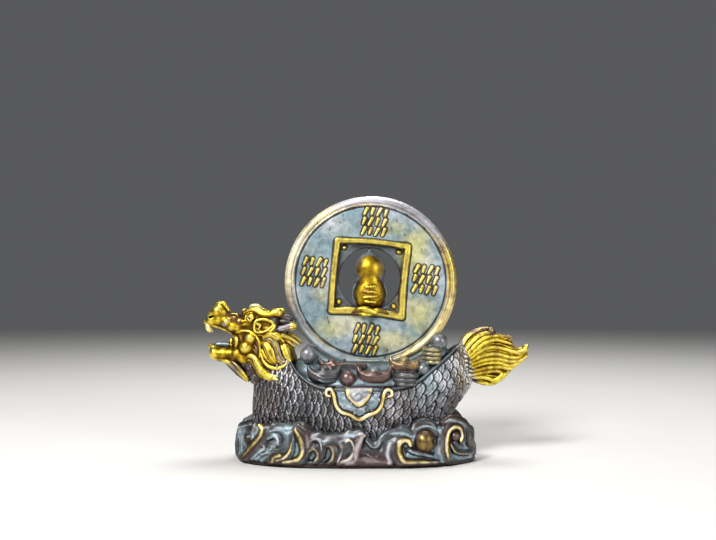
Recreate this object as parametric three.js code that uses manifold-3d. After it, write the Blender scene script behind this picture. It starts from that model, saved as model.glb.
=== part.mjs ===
// A dragon boat ornament, cast in one piece. The hull is the scaled body of a dragon-headed fish on a
// plinth of waves. It carries a heap of ingots, pearls and coins, and one large coin that stands upright
// in the heap, with a square frame, a round hole and a gourd in the hole.
// Millimetres, +Z up, +X towards the tail, -Y towards the front. The origin is on the underside.
import * as THREE from "three";
import { mergeVertices } from "three/addons/utils/BufferGeometryUtils.js";
import Module from "manifold-3d";

const wasm = await Module();
wasm.setup();

const SIDES = [-1, 1]; // the front and the back, which mirror each other

// The plinth is a rounded plan whose wall rises into waves.
const PLINTH = { middle: -3.4, halfLength: 53, halfWidth: 24.6, squareness: 2.5 };
const PLINTH_COLUMNS = 44;
// Along the plinth: place, top of the waves there, and how far their wall stands back.
const WAVES = [
  [-57, 16, 0],
  [-50, 17.3, 0],
  [-43.5, 14.6, 1.2],
  [-35.8, 16.4, 0],
  [-31.6, 13.8, 1],
  [-28, 17.6, 0],
  [-24, 12, 1.4],
  [-20.5, 12.9, 0.6],
  [-13, 12.2, 0.4],
  [-9.4, 12.8, 0.8],
  [-4.4, 14.6, 0.2],
  [2.6, 9.6, 1],
  [9, 14.8, 0.4],
  [14.6, 15, 0],
  [18, 13.2, 1.2],
  [23.4, 17.4, 0],
  [29.5, 16, 1.2],
  [35, 19.4, 0],
  [40.5, 17.2, 0],
  [44.5, 13.6, 0.4],
  [46.4, 8, 0.6],
  [49.6, 3, 0.6],
];
// The crests that curl over the waves, as places along the plinth and heights, with end radii.
const CRESTS = [
  { at: [[-52, 2], [-46, 7.4], [-46.4, 14.4], [-50.6, 16]], r: [1.6, 1.4] },
  { at: [[-46, 2.4], [-36, 8.4], [-35.6, 13.8], [-39, 11.6]], r: [1.4, 1.2] },
  { at: [[-38.5, 2.8], [-31.6, 6.6], [-28.4, 16.2], [-26, 10.4]], r: [1.6, 1.3] },
  { at: [[-25, 3.2], [-22.4, 8.2], [-20, 4.6]], r: [1.3, 1.3] },
  { at: [[-18, 6], [-15.2, 9], [-13.8, 3.4]], r: [1.1, 1.2] },
  { at: [[-12, 2.8], [-6.2, 7], [-8.6, 11.8]], r: [1.5, 1.2] },
  { at: [[-7, 3.4], [-5.2, 8.4], [-2, 12.4]], r: [1.6, 1.4] },
  { at: [[7.6, 2.6], [8.4, 10], [16, 13.2]], r: [1.5, 1.2] },
  { at: [[27, 2.8], [13.6, 4], [13.2, 10.6], [16.8, 9.4]], r: [1.2, 1.4] },
  { at: [[33.4, 2], [33.6, 11], [38.4, 13.6], [38.6, 9]], r: [1.5, 1.3] },
  { at: [[36, 7.6], [39.5, 3.8], [46, 2.2]], r: [1.2, 0.9] },
];
const CREST_PROUD = 0.2; // how far the middle of a crest is outside the wall
const ROLLER = { x: 23.7, z: 11.3, radius: 4.3, sunk: 2.6 }; // the ball of foam behind the lowest crest

// The hull is a stack of boat-shaped plans: height, left end, right end and half-width.
const HULL_PLANS = [
  [6.5, -45.5, 31.5, 17.8],
  [12, -47.5, 33, 19],
  [20, -48.3, 36.5, 20.7],
  [27, -48.4, 41, 21.2],
  [32, -48, 44.4, 20.6],
  [38, -47, 44.5, 18],
  [46, -46, 42, 13.5],
  [53, -45, 40, 9.5],
];
const HULL_MIDDLE = -2;
const HULL_COLUMNS = 28;
const HULL_ROUNDNESS = { left: 0.5, right: 0.65 }; // a half is an ellipse, and more is a finer end
// The gunwale seen from the side, from the neck to the root of the tail.
const GUNWALE = [
  [-32.6, 56],
  [-32, 44],
  [-28.1, 37.4],
  [-22, 33],
  [-14, 31.6],
  [0, 31.4],
  [12, 32.2],
  [20, 34.2],
  [28.4, 40.2],
  [34, 44],
  [40, 50],
];
const LIP = { radius: 0.9, sunk: 0.4 }; // the bead along the gunwale

// The cartouche on each side of the hull: half of its outline from the middle, and half of the scroll.
// Its flat face stands a little outside the hull where the hull is widest there.
const EMBLEM = {
  x: -3.5,
  widest: 25,
  proud: 0.7,
  thick: 6,
  outline: [[0, 19.2], [6.4, 21.8], [9.2, 25], [10.2, 28.8], [12.6, 30.8], [13.4, 28.4]],
  scroll: [[0, 24.2], [3.8, 26], [5.3, 30]],
  bead: 1,
  inner: 0.7,
};

// The heap under the treasure: centre and radii.
const HEAP = [
  [[-1, 0, 33], [33, 18.4, 8]],
  [[-24, 0, 38], [8.5, 13, 6.5]],
  [[27, 0, 38], [8, 10.5, 7.5]],
];

// The treasure on each side of the coin, with distances from the middle plane as second numbers.
const PEARLS = [
  [[-25, 10, 44.6], 4.3],
  [[-8.2, 16.6, 35.4], 3.9],
  [[23.6, 11.4, 39.6], 3.5],
  [[31.2, 5.4, 49.2], 4.2],
];
const INGOT = { half: [[0, -3.2], [4, -3], [6.6, 3.6], [3.6, 1.2]], depth: 3.4, dome: [2.9, 2.9, 2.8] };
const INGOTS = [
  [[-14.5, 9, 41], 0.8],
  [[-18, 13.6, 36.8], 1],
  [[2.7, 15.4, 36.4], 1.08],
  [[15.7, 12.6, 42], 1],
];
const STACKS = [
  [[15.6, 13.8, 36], 6, 7],
  [[27.4, 8.4, 43.8], 4.3, 7],
];
const BLOCK = [[-9.4, 9, 39.6], [4.4, 5, 5]];

// The coin stands upright, turned a little towards the tail.
const COIN = { x: 1.5, z: 75.6, radius: 36.9, turn: (5.6 * Math.PI) / 180, sides: 32 };
const COIN_RIM = { width: 4.6, halfThick: 3.1, crown: 1.4, edge: 1.9 };
const COIN_FIELD_HALF = 2.1;
// The window is a little off the coin's centre.
const FRAME = { at: [-0.5, 0, 1.1], half: 16.6, bar: 2.9, proud: 1.5, corner: 1.6 };
const HOLE = { radius: 13.4, sides: 20 };
const PLATE_HALF = 1.2;
const STUD = { radius: 0.8, proud: 0.7, place: 11.8 };
// The four groups of strokes: how far they are from the centre, then the strokes' own places and sizes.
const STROKE = { radius: 24.4, step: 4.2, offset: 2.9, long: 4.6, short: 3.2, width: 1.5, proud: 0.7 };
const STROKE_TILT = 0.25;
// The gourd's profile: radius and height above the table.
const GOURD = [
  [0, 61.4],
  [4.4, 62.4],
  [6.9, 67],
  [6.4, 71],
  [3.9, 74.9],
  [5.2, 79],
  [4.6, 83.6],
  [1, 87],
  [0, 89],
];
const GOURD_FLATNESS = 0.75;

// Cross-sections from the back of the head to the nose, and from the throat to the chin: place, height of
// the middle, half-height and half-width.
const UPPER_JAW = [
  [-34, 54.5, 4, 4],
  [-40.5, 55, 7.4, 8.4],
  [-47, 56.4, 7.2, 9],
  [-51, 58.6, 6, 7.6],
  [-56, 57.2, 3.8, 6.4],
  [-61, 57.8, 4.6, 5.4],
  [-65, 60.2, 5, 5],
  [-68.4, 59.2, 3.8, 4.2],
  [-70.2, 58, 1.6, 2.4],
];
const LOWER_JAW = [
  [-46, 41, 9, 7],
  [-53, 43, 6, 6.4],
  [-59, 44.8, 3.6, 5.8],
  [-65, 45.2, 4, 4.8],
  [-68.6, 45.6, 3.2, 3.8],
  [-69.8, 45.6, 1.6, 2],
];
const NECK = [[-41, 0, 45], [8.6, 9.4, 11]];
const TONGUE = { at: [[-56, 0, 48.4], [-61, 0, 49.6], [-66.6, 0, 49.6]], r: [2.2, 1.2] };
const EYE = { at: [-48.8, 7, 59.8], radius: 2.2 };
const CHEEK = [[-50.8, 7.2, 50.2], [3.2, 3, 4.4]];
// The strands on each side of the head, from root to tip.
const HEAD_STRANDS = {
  nose: { at: [[-65.6, 2.2, 62], [-63.4, 2.2, 66.6], [-60.8, 2.2, 63]], r: [1.7, 1] },
  fang: { at: [[-68.2, 2.6, 57.4], [-69.2, 2.6, 52.8]], r: [1.3, 0.7] },
  lip: { at: [[-67.4, 2.8, 56], [-62, 4, 54.6], [-57.6, 5.2, 52.4], [-56.6, 5.6, 46.4]], r: [1, 1.1] },
  ridge: { at: [[-54, 7.4, 54.6], [-47.6, 9.6, 54], [-44.6, 10, 49.6], [-44.6, 9.4, 43.4]], r: [1, 1] },
  brow: { at: [[-50.6, 5.4, 64], [-44.4, 7.4, 61], [-38.4, 8.2, 62.2]], r: [1.3, 2] },
  horn: { at: [[-41, 7.6, 54.8], [-36, 8.8, 55.8], [-30.2, 8.6, 56.4]], r: [1.2, 1.7] },
  maneTop: { at: [[-41.4, 9, 53.6], [-35.4, 10.8, 49.6], [-31.8, 10.6, 42.4]], r: [1.4, 1.1] },
  maneMiddle: { at: [[-43.4, 9.8, 50.6], [-38, 11.6, 45.6], [-34.4, 11.2, 41.4]], r: [1.6, 1] },
  maneBottom: { at: [[-44, 9.4, 45.4], [-41.6, 11.4, 40.4], [-34, 11.8, 40.6]], r: [1.4, 0.9] },
  beardBack: { at: [[-50, 6.8, 43.6], [-44.4, 10, 39.6], [-36.2, 12.4, 34.6]], r: [1.7, 0.9] },
  beardFront: { at: [[-62.6, 3, 41.4], [-57, 4.6, 38.6], [-50, 4.2, 31.4]], r: [1.7, 0.9] },
};

// The rays of the tail fin, from the top one to the bottom one: root and tip, seen from the side.
const FIN_TIPS = [
  [54.5, 53.4],
  [62.2, 51.2],
  [62.8, 48.4],
  [70.3, 48],
  [69.6, 45.6],
  [69.2, 42.8],
  [64.3, 39.4],
  [60.5, 37.2],
  [58, 34.6],
  [52.5, 31.3],
];
const FIN = { top: [41.4, 47.4], bottom: [43.6, 32.4], ridge: 0.9, rows: 4, valleyReach: 0.86, bend: 2.2 };
const FIN_HALF_THICK = { root: 3.6, tip: 1.2 };
const FIN_ROOT = [[42, 0, 40], [5, 4.8, 8.6]];
const FIN_CURL = { at: [[41, 0, 45], [44.4, 0, 52], [54.6, 0, 54.4]], r: [2.8, 1.3] };

// Turns a closed three.js geometry into a solid.
function solid(geometry) {
  const bare = new THREE.BufferGeometry().setAttribute("position", geometry.getAttribute("position"));
  bare.setIndex(geometry.index);
  const merged = mergeVertices(bare, 1e-4);
  return new wasm.Manifold(
    new wasm.Mesh({
      numProp: 3,
      vertProperties: merged.attributes.position.array,
      triVerts: new Uint32Array(merged.index.array),
    }),
  );
}

// Joins solids by adding them one after another.
const join = (parts) => parts.reduce((sum, part) => sum.add(part));

function placed(geometry, position, rotation = [0, 0, 0]) {
  const turned = new THREE.Matrix4().makeRotationFromEuler(new THREE.Euler(...rotation));
  return solid(geometry.applyMatrix4(turned.setPosition(...position)));
}

function ellipsoid(centre, radii, { around = 7, rings = 4 } = {}) {
  return placed(new THREE.SphereGeometry(1, around, rings).scale(...radii), centre);
}

// Reads a list of numbers at a share of its length, with straight steps between them.
function along(values, share) {
  const place = share * (values.length - 1);
  const i = Math.min(Math.floor(place), values.length - 2);
  return values[i] + (values[i + 1] - values[i]) * (place - i);
}

// Reads one column of a table of [key, value, ...] rows at a key between the rows'.
function lookUp(rows, key, column = 1) {
  const next = rows.findIndex((row) => row[0] >= key);
  const i = next < 0 ? rows.length - 1 : Math.max(1, next);
  const [a, b] = [rows[i - 1], rows[i]];
  const share = THREE.MathUtils.clamp((key - a[0]) / (b[0] - a[0]), 0, 1);
  return a[column] + (b[column] - a[column]) * share;
}

// A closed skin over rings that hold the same number of points, with a fan over each end.
function loft(rings) {
  const count = rings[0].length;
  const position = rings.flat(2);
  const index = [];
  rings.slice(1).forEach((_, i) => {
    for (let j = 0; j < count; j++) {
      const [a, b] = [i * count + j, i * count + ((j + 1) % count)];
      index.push(a, b, b + count, a, b + count, a + count);
    }
  });
  [rings[0], rings.at(-1)].forEach((ring, end) => {
    const middle = position.length / 3;
    const start = end ? (rings.length - 1) * count : 0;
    for (const axis of [0, 1, 2]) position.push(ring.reduce((sum, p) => sum + p[axis], 0) / count);
    for (let j = 0; j < count; j++) {
      const [a, b] = [start + j, start + ((j + 1) % count)];
      index.push(...(end ? [a, b, middle] : [b, a, middle]));
    }
  });
  const skin = new THREE.BufferGeometry();
  skin.setAttribute("position", new THREE.Float32BufferAttribute(position, 3));
  return solid(skin.setIndex(index));
}

// Points around a circle, as a cosine and a sine each.
const around = (count) =>
  Array.from({ length: count }, (_, i) => {
    const angle = (2 * Math.PI * i) / count;
    return [Math.cos(angle), Math.sin(angle)];
  });

// A tapered ridge that follows a smooth curve through the points. One edge faces away from the middle plane.
function strand({ at, r }, steps = at.length + 1, sides = 4) {
  const curve = new THREE.CatmullRomCurve3(at.map((p) => new THREE.Vector3(...p)), false, "catmullrom");
  let up = new THREE.Vector3(0.1, at[0][1] < 0 ? -1 : 1, 0.2);
  const rings = Array.from({ length: steps + 1 }, (_, i) => {
    const forward = curve.getTangent(i / steps);
    const across = new THREE.Vector3().crossVectors(forward, up).normalize();
    up = new THREE.Vector3().crossVectors(across, forward).normalize();
    const [centre, radius] = [curve.getPoint(i / steps), along(r, i / steps)];
    return around(sides).map(([c, s]) =>
      centre.clone().addScaledVector(up, radius * c).addScaledVector(across, radius * s).toArray(),
    );
  });
  return loft(rings);
}

// A plate in the upright plane, cut to an outline of [x, z] points, between two distances from the front.
function plate(outline, front, back) {
  const shape = new THREE.Shape(outline.map((p) => new THREE.Vector2(...p)));
  const slab = new THREE.ExtrudeGeometry(shape, { depth: back - front, bevelEnabled: false });
  return placed(slab, [0, back, 0], [Math.PI / 2, 0, 0]);
}

// The point on the plinth's wall at a place along it, moved outwards.
function onPlinth(x, z, side, out) {
  const n = PLINTH.squareness;
  const s = (x - PLINTH.middle) / PLINTH.halfLength;
  const t = (1 - Math.abs(s) ** n) ** (1 / n);
  const normal = new THREE.Vector2(
    (Math.sign(s) * Math.abs(s) ** (n - 1)) / PLINTH.halfLength,
    t ** (n - 1) / PLINTH.halfWidth,
  ).normalize();
  const off = out - lookUp(WAVES, x, 2) * Math.min(1, z / lookUp(WAVES, x, 1));
  return [x + normal.x * off, side * (PLINTH.halfWidth * t + normal.y * off), z];
}

function plinth() {
  const power = 2 / PLINTH.squareness;
  // A ring goes through the same share of every wave's height, and its inset grows towards the tops.
  const ring = (share, inset) =>
    around(PLINTH_COLUMNS).map(([c, s]) => {
      const reach = Math.sign(c) * Math.abs(c) ** power;
      const back = inset + share * lookUp(WAVES, PLINTH.middle + reach * PLINTH.halfLength, 2);
      const x = PLINTH.middle + reach * (PLINTH.halfLength - back);
      const y = Math.sign(s) * Math.abs(s) ** power * (PLINTH.halfWidth - back);
      return [x, y, share * lookUp(WAVES, x, 1)];
    });
  const wall = [[0, 1.4], [0.14, 0.2], [0.55, 0], [0.85, 1], [1, 2.8], [0.8, 7]];
  const parts = [loft(wall.map(([share, inset]) => ring(share, inset)))];
  for (const side of SIDES) {
    for (const { at, r } of CRESTS) {
      parts.push(strand({ at: at.map(([x, z]) => onPlinth(x, z, side, CREST_PROUD)), r }, at.length, 3));
    }
    const [x, y, z] = onPlinth(ROLLER.x, ROLLER.z, side, -ROLLER.sunk);
    parts.push(ellipsoid([x, y, z], Array(3).fill(ROLLER.radius)));
  }
  return join(parts);
}

// How far the hull's side is from the middle plane.
function hullHalfWidth(x, z) {
  const left = x < HULL_MIDDLE;
  const s = (x - HULL_MIDDLE) / (lookUp(HULL_PLANS, z, left ? 1 : 2) - HULL_MIDDLE);
  const roundness = left ? HULL_ROUNDNESS.left : HULL_ROUNDNESS.right;
  return lookUp(HULL_PLANS, z, 3) * Math.max(0, 1 - s * s) ** roundness;
}

// The hull's skin goes through the plans and is cut away above the gunwale.
function hull() {
  const rings = HULL_PLANS.map(([z, left, right]) =>
    around(HULL_COLUMNS).map(([c, s]) => {
      const x = HULL_MIDDLE + c * (c < 0 ? HULL_MIDDLE - left : right - HULL_MIDDLE);
      return [x, Math.sign(s) * hullHalfWidth(x, z), z];
    }),
  );
  const above = [...GUNWALE, [60, 50], [60, 90], [GUNWALE[0][0], 90]];
  const parts = [loft(rings).subtract(plate(above, -40, 40))];
  for (const side of SIDES) {
    const at = GUNWALE.slice(1, -1).map(([x, z]) => [x, side * (hullHalfWidth(x, z) - LIP.sunk), z]);
    parts.push(strand({ at, r: [LIP.radius, LIP.radius] }, 10, 3));
  }
  return join(parts);
}

// A cartouche: a shield with a beaded edge and a scroll in it, as a cloth hung over each side.
function emblem(side) {
  const both = (half) => [
    ...half.slice(1).reverse().map(([x, z]) => [EMBLEM.x - x, z]),
    ...half.map(([x, z]) => [EMBLEM.x + x, z]),
  ];
  const bead = (half, r, steps) =>
    strand({ at: both(half).map(([x, z]) => [x, side * (hullHalfWidth(x, z) + r), z]), r: [r, r] }, steps, 3);
  const face = side * (hullHalfWidth(EMBLEM.x, EMBLEM.widest) + EMBLEM.proud);
  const behind = face - side * EMBLEM.thick;
  return [
    plate(both(EMBLEM.outline.slice(0, 4)), Math.min(face, behind), Math.max(face, behind)),
    bead(EMBLEM.outline, EMBLEM.bead, 10),
    bead(EMBLEM.scroll, EMBLEM.inner, 4),
  ];
}

// A boat-shaped ingot with turned-up ends and a dome between them.
function ingot([x, y, z], size) {
  const { half, depth, dome } = INGOT;
  const outline = [...half, ...half.slice(1).reverse().map(([a, b]) => [-a, b])];
  const body = outline.map(([a, b]) => [x + a * size, z + b * size]);
  return [
    plate(body, y - depth * size, y + depth * size),
    ellipsoid([x, y, z + 1.4 * size], dome.map((radius) => radius * size), { around: 6, rings: 3 }),
  ];
}

function treasure(side) {
  const across = ([x, y, z]) => [x, side * y, z];
  return [
    ...PEARLS.map(([at, radius]) => ellipsoid(across(at), [radius, radius, radius])),
    ...INGOTS.flatMap(([at, size]) => ingot(across(at), size)),
    ...STACKS.map(([at, radius, height]) =>
      placed(new THREE.CylinderGeometry(radius, radius, height, 8).rotateX(Math.PI / 2), across(at)),
    ),
    placed(new THREE.BoxGeometry(...BLOCK[1]), across(BLOCK[0])),
  ];
}

const heap = () => HEAP.map(([centre, radii]) => ellipsoid(centre, radii, { around: 9, rings: 5 }));

// Puts a piece that is drawn about the coin's centre, or about the window's, into its place there.
const onCoin = (geometry) => placed(geometry, [COIN.x, 0, COIN.z], [0, COIN.turn, 0]);
const inWindow = (geometry) => onCoin(geometry.translate(...FRAME.at));

// The round plate with its raised rim, the sunk window in its frame and the round hole through it.
function coin() {
  const { width, halfThick, crown, edge } = COIN_RIM;
  const inner = COIN.radius - width;
  const half = [
    [0, COIN_FIELD_HALF],
    [inner, COIN_FIELD_HALF],
    [inner + crown, halfThick],
    [COIN.radius, edge],
  ];
  const profile = [...half.map(([r, y]) => [r, -y]), ...half.reverse()].map((p) => new THREE.Vector2(...p));
  const open = 2 * (FRAME.half - FRAME.bar);
  const deep = 2 * COIN_RIM.halfThick;
  const sunk = SIDES.map((side) =>
    inWindow(new THREE.BoxGeometry(open, deep, open).translate(0, side * (deep / 2 + PLATE_HALF), 0)),
  );
  return onCoin(new THREE.LatheGeometry(profile, COIN.sides))
    .subtract(join(sunk))
    .add(join([frame(), ...studs(), ...strokes()]))
    .subtract(inWindow(new THREE.CylinderGeometry(HOLE.radius, HOLE.radius, deep, HOLE.sides)));
}

function frame() {
  const { half, bar, proud, corner } = FRAME;
  const [flat, open] = [half - corner, half - bar];
  const turns = [[1, -1], [1, 1], [-1, 1], [-1, -1]];
  const shape = new THREE.Shape();
  for (const [x, z] of turns) {
    const start = Math.atan2(z, x) - Math.PI / 4;
    shape.absarc(x * flat, z * flat, corner, start, start + Math.PI / 2);
  }
  shape.holes.push(new THREE.Path(turns.map(([x, z]) => new THREE.Vector2(x * open, z * open)).reverse()));
  const reach = COIN_FIELD_HALF + proud;
  const ring = new THREE.ExtrudeGeometry(shape, { depth: 2 * reach, bevelEnabled: false, curveSegments: 2 });
  return inWindow(ring.translate(0, 0, -reach).rotateX(Math.PI / 2));
}

// A small round stud near each corner of the window, on both faces.
function studs() {
  return SIDES.flatMap((x) =>
    SIDES.map((z) => {
      const pin = new THREE.CylinderGeometry(STUD.radius, STUD.radius, 2 * (PLATE_HALF + STUD.proud), 6);
      return inWindow(pin.translate(x * STUD.place, 0, z * STUD.place));
    }),
  );
}

// Rows of short strokes above, below and beside the frame, which spell nothing.
function strokes() {
  return around(4).flatMap(([c, s], group) =>
    [-1, 0, 1].flatMap((row) =>
      (row ? [0] : SIDES).map((end) => {
        const length = (row + group) % 2 ? STROKE.short : STROKE.long;
        const bar = new THREE.BoxGeometry(length, 2 * (COIN_FIELD_HALF + STROKE.proud), STROKE.width);
        bar.rotateY(end * STROKE_TILT);
        const [x, z] = [end * STROKE.offset + STROKE.radius * c, row * STROKE.step + STROKE.radius * s];
        return onCoin(bar.translate(x, 0, z));
      }),
    ),
  );
}

function gourd() {
  const skin = new THREE.LatheGeometry(GOURD.map((p) => new THREE.Vector2(...p)), 9);
  return placed(skin.rotateX(Math.PI / 2).scale(1, GOURD_FLATNESS, 1), [COIN.x - 0.6, 0, 0]);
}

function head() {
  const jaw = (sections) =>
    loft(sections.map(([x, z, high, wide]) => around(8).map(([c, s]) => [x, -c * wide, z + s * high])));
  const parts = [jaw(UPPER_JAW), jaw(LOWER_JAW), ellipsoid(...NECK), strand(TONGUE)];
  for (const side of SIDES) {
    const across = ([x, y, z]) => [x, side * y, z];
    for (const { at, r } of Object.values(HEAD_STRANDS)) {
      parts.push(strand({ at: at.map(across), r }, at.length, 3));
    }
    parts.push(ellipsoid(across(EYE.at), Array(3).fill(EYE.radius)));
    parts.push(ellipsoid(across(CHEEK[0]), CHEEK[1]));
  }
  return join(parts);
}

// The fin is a pleated fan: a ridge on both faces along every ray, and a valley between two rays.
function fin() {
  const pleats = 2 * FIN_TIPS.length - 1;
  const point = (column, share, side) => {
    const down = column / (pleats - 1);
    const ray = column / 2;
    const valley = column % 2;
    const [x0, z0] = [0, 1].map((axis) => along([FIN.top[axis], FIN.bottom[axis]], down));
    const last = FIN_TIPS.length - 1;
    const [x1, z1] = [0, 1].map((axis) => along(FIN_TIPS.map((tip) => tip[axis]), ray / last));
    const reach = share * (valley ? FIN.valleyReach : 1);
    const bend = FIN.bend * (1 - 2 * down) * Math.sin(Math.PI * share);
    const half = along([FIN_HALF_THICK.root, FIN_HALF_THICK.tip], share) - (valley ? FIN.ridge * share : 0);
    return [x0 + (x1 - x0) * reach, side * half, z0 + (z1 - z0) * reach + bend];
  };
  const rings = Array.from({ length: FIN.rows + 1 }, (_, row) => {
    const columns = Array.from({ length: pleats }, (_, column) => column);
    const face = (side) => columns.map((column) => point(column, row / FIN.rows, side));
    return [...face(-1), ...face(1).reverse()];
  });
  return loft(rings);
}

const tail = () => join([fin(), ellipsoid(...FIN_ROOT), strand(FIN_CURL)]);

const whole = join([
  plinth(),
  hull(),
  ...heap(),
  ...SIDES.flatMap((side) => [...emblem(side), ...treasure(side)]),
  coin(),
  gourd(),
  head(),
  tail(),
]);

// Takes a solid's skin back to three.js.
function skinOf(made) {
  const { vertProperties, triVerts } = made.getMesh();
  const skin = new THREE.BufferGeometry();
  skin.setAttribute("position", new THREE.BufferAttribute(vertProperties, 3));
  skin.setIndex(new THREE.BufferAttribute(triVerts, 1));
  skin.computeVertexNormals();
  return skin;
}

const bronze = new THREE.MeshStandardMaterial({ color: 0x5a4a3c, metalness: 0.9, roughness: 0.42 });
const ornament = new THREE.Mesh(skinOf(whole), bronze);
ornament.name = "dragon_boat_ornament";

const group = new THREE.Group();
group.add(ornament);
export default group;
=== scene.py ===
import math

import bpy
import numpy as np
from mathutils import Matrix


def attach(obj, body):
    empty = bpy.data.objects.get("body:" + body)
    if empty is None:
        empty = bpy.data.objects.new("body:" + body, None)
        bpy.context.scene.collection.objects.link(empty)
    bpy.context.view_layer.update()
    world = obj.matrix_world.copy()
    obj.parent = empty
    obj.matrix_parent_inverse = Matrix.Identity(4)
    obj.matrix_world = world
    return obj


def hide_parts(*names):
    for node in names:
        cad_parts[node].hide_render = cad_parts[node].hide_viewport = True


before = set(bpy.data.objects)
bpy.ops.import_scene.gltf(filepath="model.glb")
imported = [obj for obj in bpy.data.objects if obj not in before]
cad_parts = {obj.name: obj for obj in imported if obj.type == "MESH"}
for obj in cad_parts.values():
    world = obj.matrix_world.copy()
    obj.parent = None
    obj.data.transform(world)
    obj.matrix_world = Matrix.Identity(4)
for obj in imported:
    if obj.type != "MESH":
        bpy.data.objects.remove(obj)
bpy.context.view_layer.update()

import openvdb

# Everything below is shaped in millimetres and turned into metres when a mesh is made.
MM = 0.001
# The distance that stands for empty space in the grid of a modelled lump.
FAR = 3.0
# How readily the meshes of modelled lumps get larger faces where they are flatter.
FLATTER = 0.02
# How steeply the sides of a lump that is cut out along an outline close on its width.
SLAB_SLOPE = 0.75
# The two widths over which a lump's paint compares the surface, for its hollows and its edges, and
# the result that counts as a full edge. The hollows found so get painted shade, and the edges a painted
# highlight.
EDGE_WIDTHS = (0.9, 2.4)
EDGE_FULL = 0.3
# Noise is a sum of waves: how many, their lengths as shares of its size, and what the sum is divided by.
NOISE = {"waves": 7, "lengths": (0.35, 0.8), "divisor": 3.2}


# Curves, distances and steps.


def smooth(points, count=None):
    """Points along a smooth curve that goes through the given ones."""
    given = np.asarray(points, float)
    count = count or 5 * len(given) - 4
    p = np.vstack([2 * given[0] - given[1], given, 2 * given[-1] - given[-2]])
    at = np.linspace(0, len(given) - 1, count)
    i = np.minimum(at.astype(int), len(given) - 2)
    t = (at - i)[:, None]
    a, b, c, d = p[i], p[i + 1], p[i + 2], p[i + 3]
    return 0.5 * (2 * b + (c - a) * t + (2 * a - 5 * b + 4 * c - d) * t**2 + (3 * b - a - 3 * c + d) * t**3)


def along(values, share):
    """Evenly spaced values, read at a share of their row from 0 to 1."""
    return np.interp(share, np.linspace(0, 1, len(values)), values)


def spread(values, count):
    return along(values, np.linspace(0, 1, count))


def step(low, high, x):
    t = np.clip((x - low) / (high - low), 0, 1)
    return t * t * (3 - 2 * t)


def bump(distance, width):
    return np.exp(-((distance / width) ** 2))


def turned(x, z, angle):
    c, s = math.cos(angle), math.sin(angle)
    return c * x + s * z, c * z - s * x


def from_line(x, z, points):
    """How far each place is from a smooth line in a plane, and where along the line it is nearest."""
    return polyline(x, z, smooth(points))


def polyline(x, z, line):
    """The same for a line of straight pieces. Places along it are shares from 0 to 1."""
    best = np.full(np.broadcast(x, z).shape, 1e9)
    share = np.zeros_like(best)
    for k in range(len(line) - 1):
        (ax, az), (bx, bz) = line[k], line[k + 1]
        dx, dz = bx - ax, bz - az
        t = np.clip(((x - ax) * dx + (z - az) * dz) / (dx * dx + dz * dz + 1e-9), 0, 1)
        d = (x - ax - t * dx) ** 2 + (z - az - t * dz) ** 2
        closer = d < best
        best[closer] = d[closer]
        share[closer] = ((k + t) / (len(line) - 1))[closer]
    return np.sqrt(best), share


def inside(x, z, outline):
    odd = np.zeros(x.shape, bool)
    for (ax, az), (bx, bz) in zip(outline, np.roll(outline, -1, 0)):
        crosses = (az > z) != (bz > z)
        odd ^= crosses & (x < ax + (bx - ax) * (z - az) / (bz - az + 1e-9))
    return odd


def noise(x, y, z, size, seed):
    """Soft random values, mostly from -1 to 1, that change over about the given size."""
    total = np.zeros(np.broadcast(x, y, z).shape)
    r = np.random.default_rng(seed)
    for _ in range(NOISE["waves"]):
        way = r.normal(size=3)
        way /= np.linalg.norm(way) * size * r.uniform(*NOISE["lengths"])
        total += np.sin(way[0] * x + way[1] * y + way[2] * z + r.uniform(0, 6.28))
    return total / NOISE["divisor"]


# Meshes.

# The edge mark sets painted highlights and painted shade, and pale carries both pale bloom and painted
# highlights.
MARKS = ("gold", "blue", "warm", "green", "pale", "edge")


def piece(name, points, groups, marks, material):
    """Makes a mesh. Each of the groups holds faces that have the same number of corners."""
    mesh = bpy.data.meshes.new(name)
    mesh.vertices.add(len(points))
    mesh.vertices.foreach_set("co", (np.asarray(points, np.float32) * MM).ravel())
    corners = np.concatenate([faces.ravel() for faces in groups]).astype(np.int32)
    sizes = np.concatenate([np.full(len(faces), faces.shape[1]) for faces in groups])
    mesh.loops.add(len(corners))
    mesh.loops.foreach_set("vertex_index", corners)
    mesh.polygons.add(len(sizes))
    mesh.polygons.foreach_set("loop_start", (np.cumsum(sizes) - sizes).astype(np.int32))
    mesh.update(calc_edges=True)
    mesh.validate()
    mesh.polygons.foreach_set("use_smooth", np.ones(len(mesh.polygons), bool))
    for mark in MARKS:
        values = np.broadcast_to(np.asarray(marks.get(mark, 0), np.float32), len(points))
        mesh.attributes.new(mark, "FLOAT", "POINT").data.foreach_set("value", np.ascontiguousarray(values))
    mesh.materials.append(material)
    made = bpy.data.objects.new(name, mesh)
    bpy.context.collection.objects.link(made)
    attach(made, "root")
    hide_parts("dragon_boat_ornament")


def grid_faces(rows, columns, closed=False):
    """Faces of a grid of points. A closed one also joins the last column to the first."""
    at = np.arange(rows * columns).reshape(rows, columns)
    a, b = at[:-1], at[1:]
    if closed:
        quads = [a, np.roll(a, -1, 1), np.roll(b, -1, 1), b]
    else:
        quads = [a[:, :-1], a[:, 1:], b[:, 1:], b[:, :-1]]
    return np.stack(quads, -1).reshape(-1, 4)


def facing_out(points, groups):
    """Turns the faces over if the last group, which has four corners, encloses a negative volume."""
    a, b, c, d = (points[groups[-1][:, k]] for k in range(4))
    volume = np.sum(np.cross(b - a, c - a) * a) + np.sum(np.cross(c - a, d - a) * a)
    return groups if volume > 0 else [faces[:, ::-1] for faces in groups]


def normals_of(points):
    """Unit normals of a grid of points."""
    n = np.cross(np.gradient(points, axis=1), np.gradient(points, axis=0))
    return n / (np.linalg.norm(n, axis=-1, keepdims=True) + 1e-9)


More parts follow.
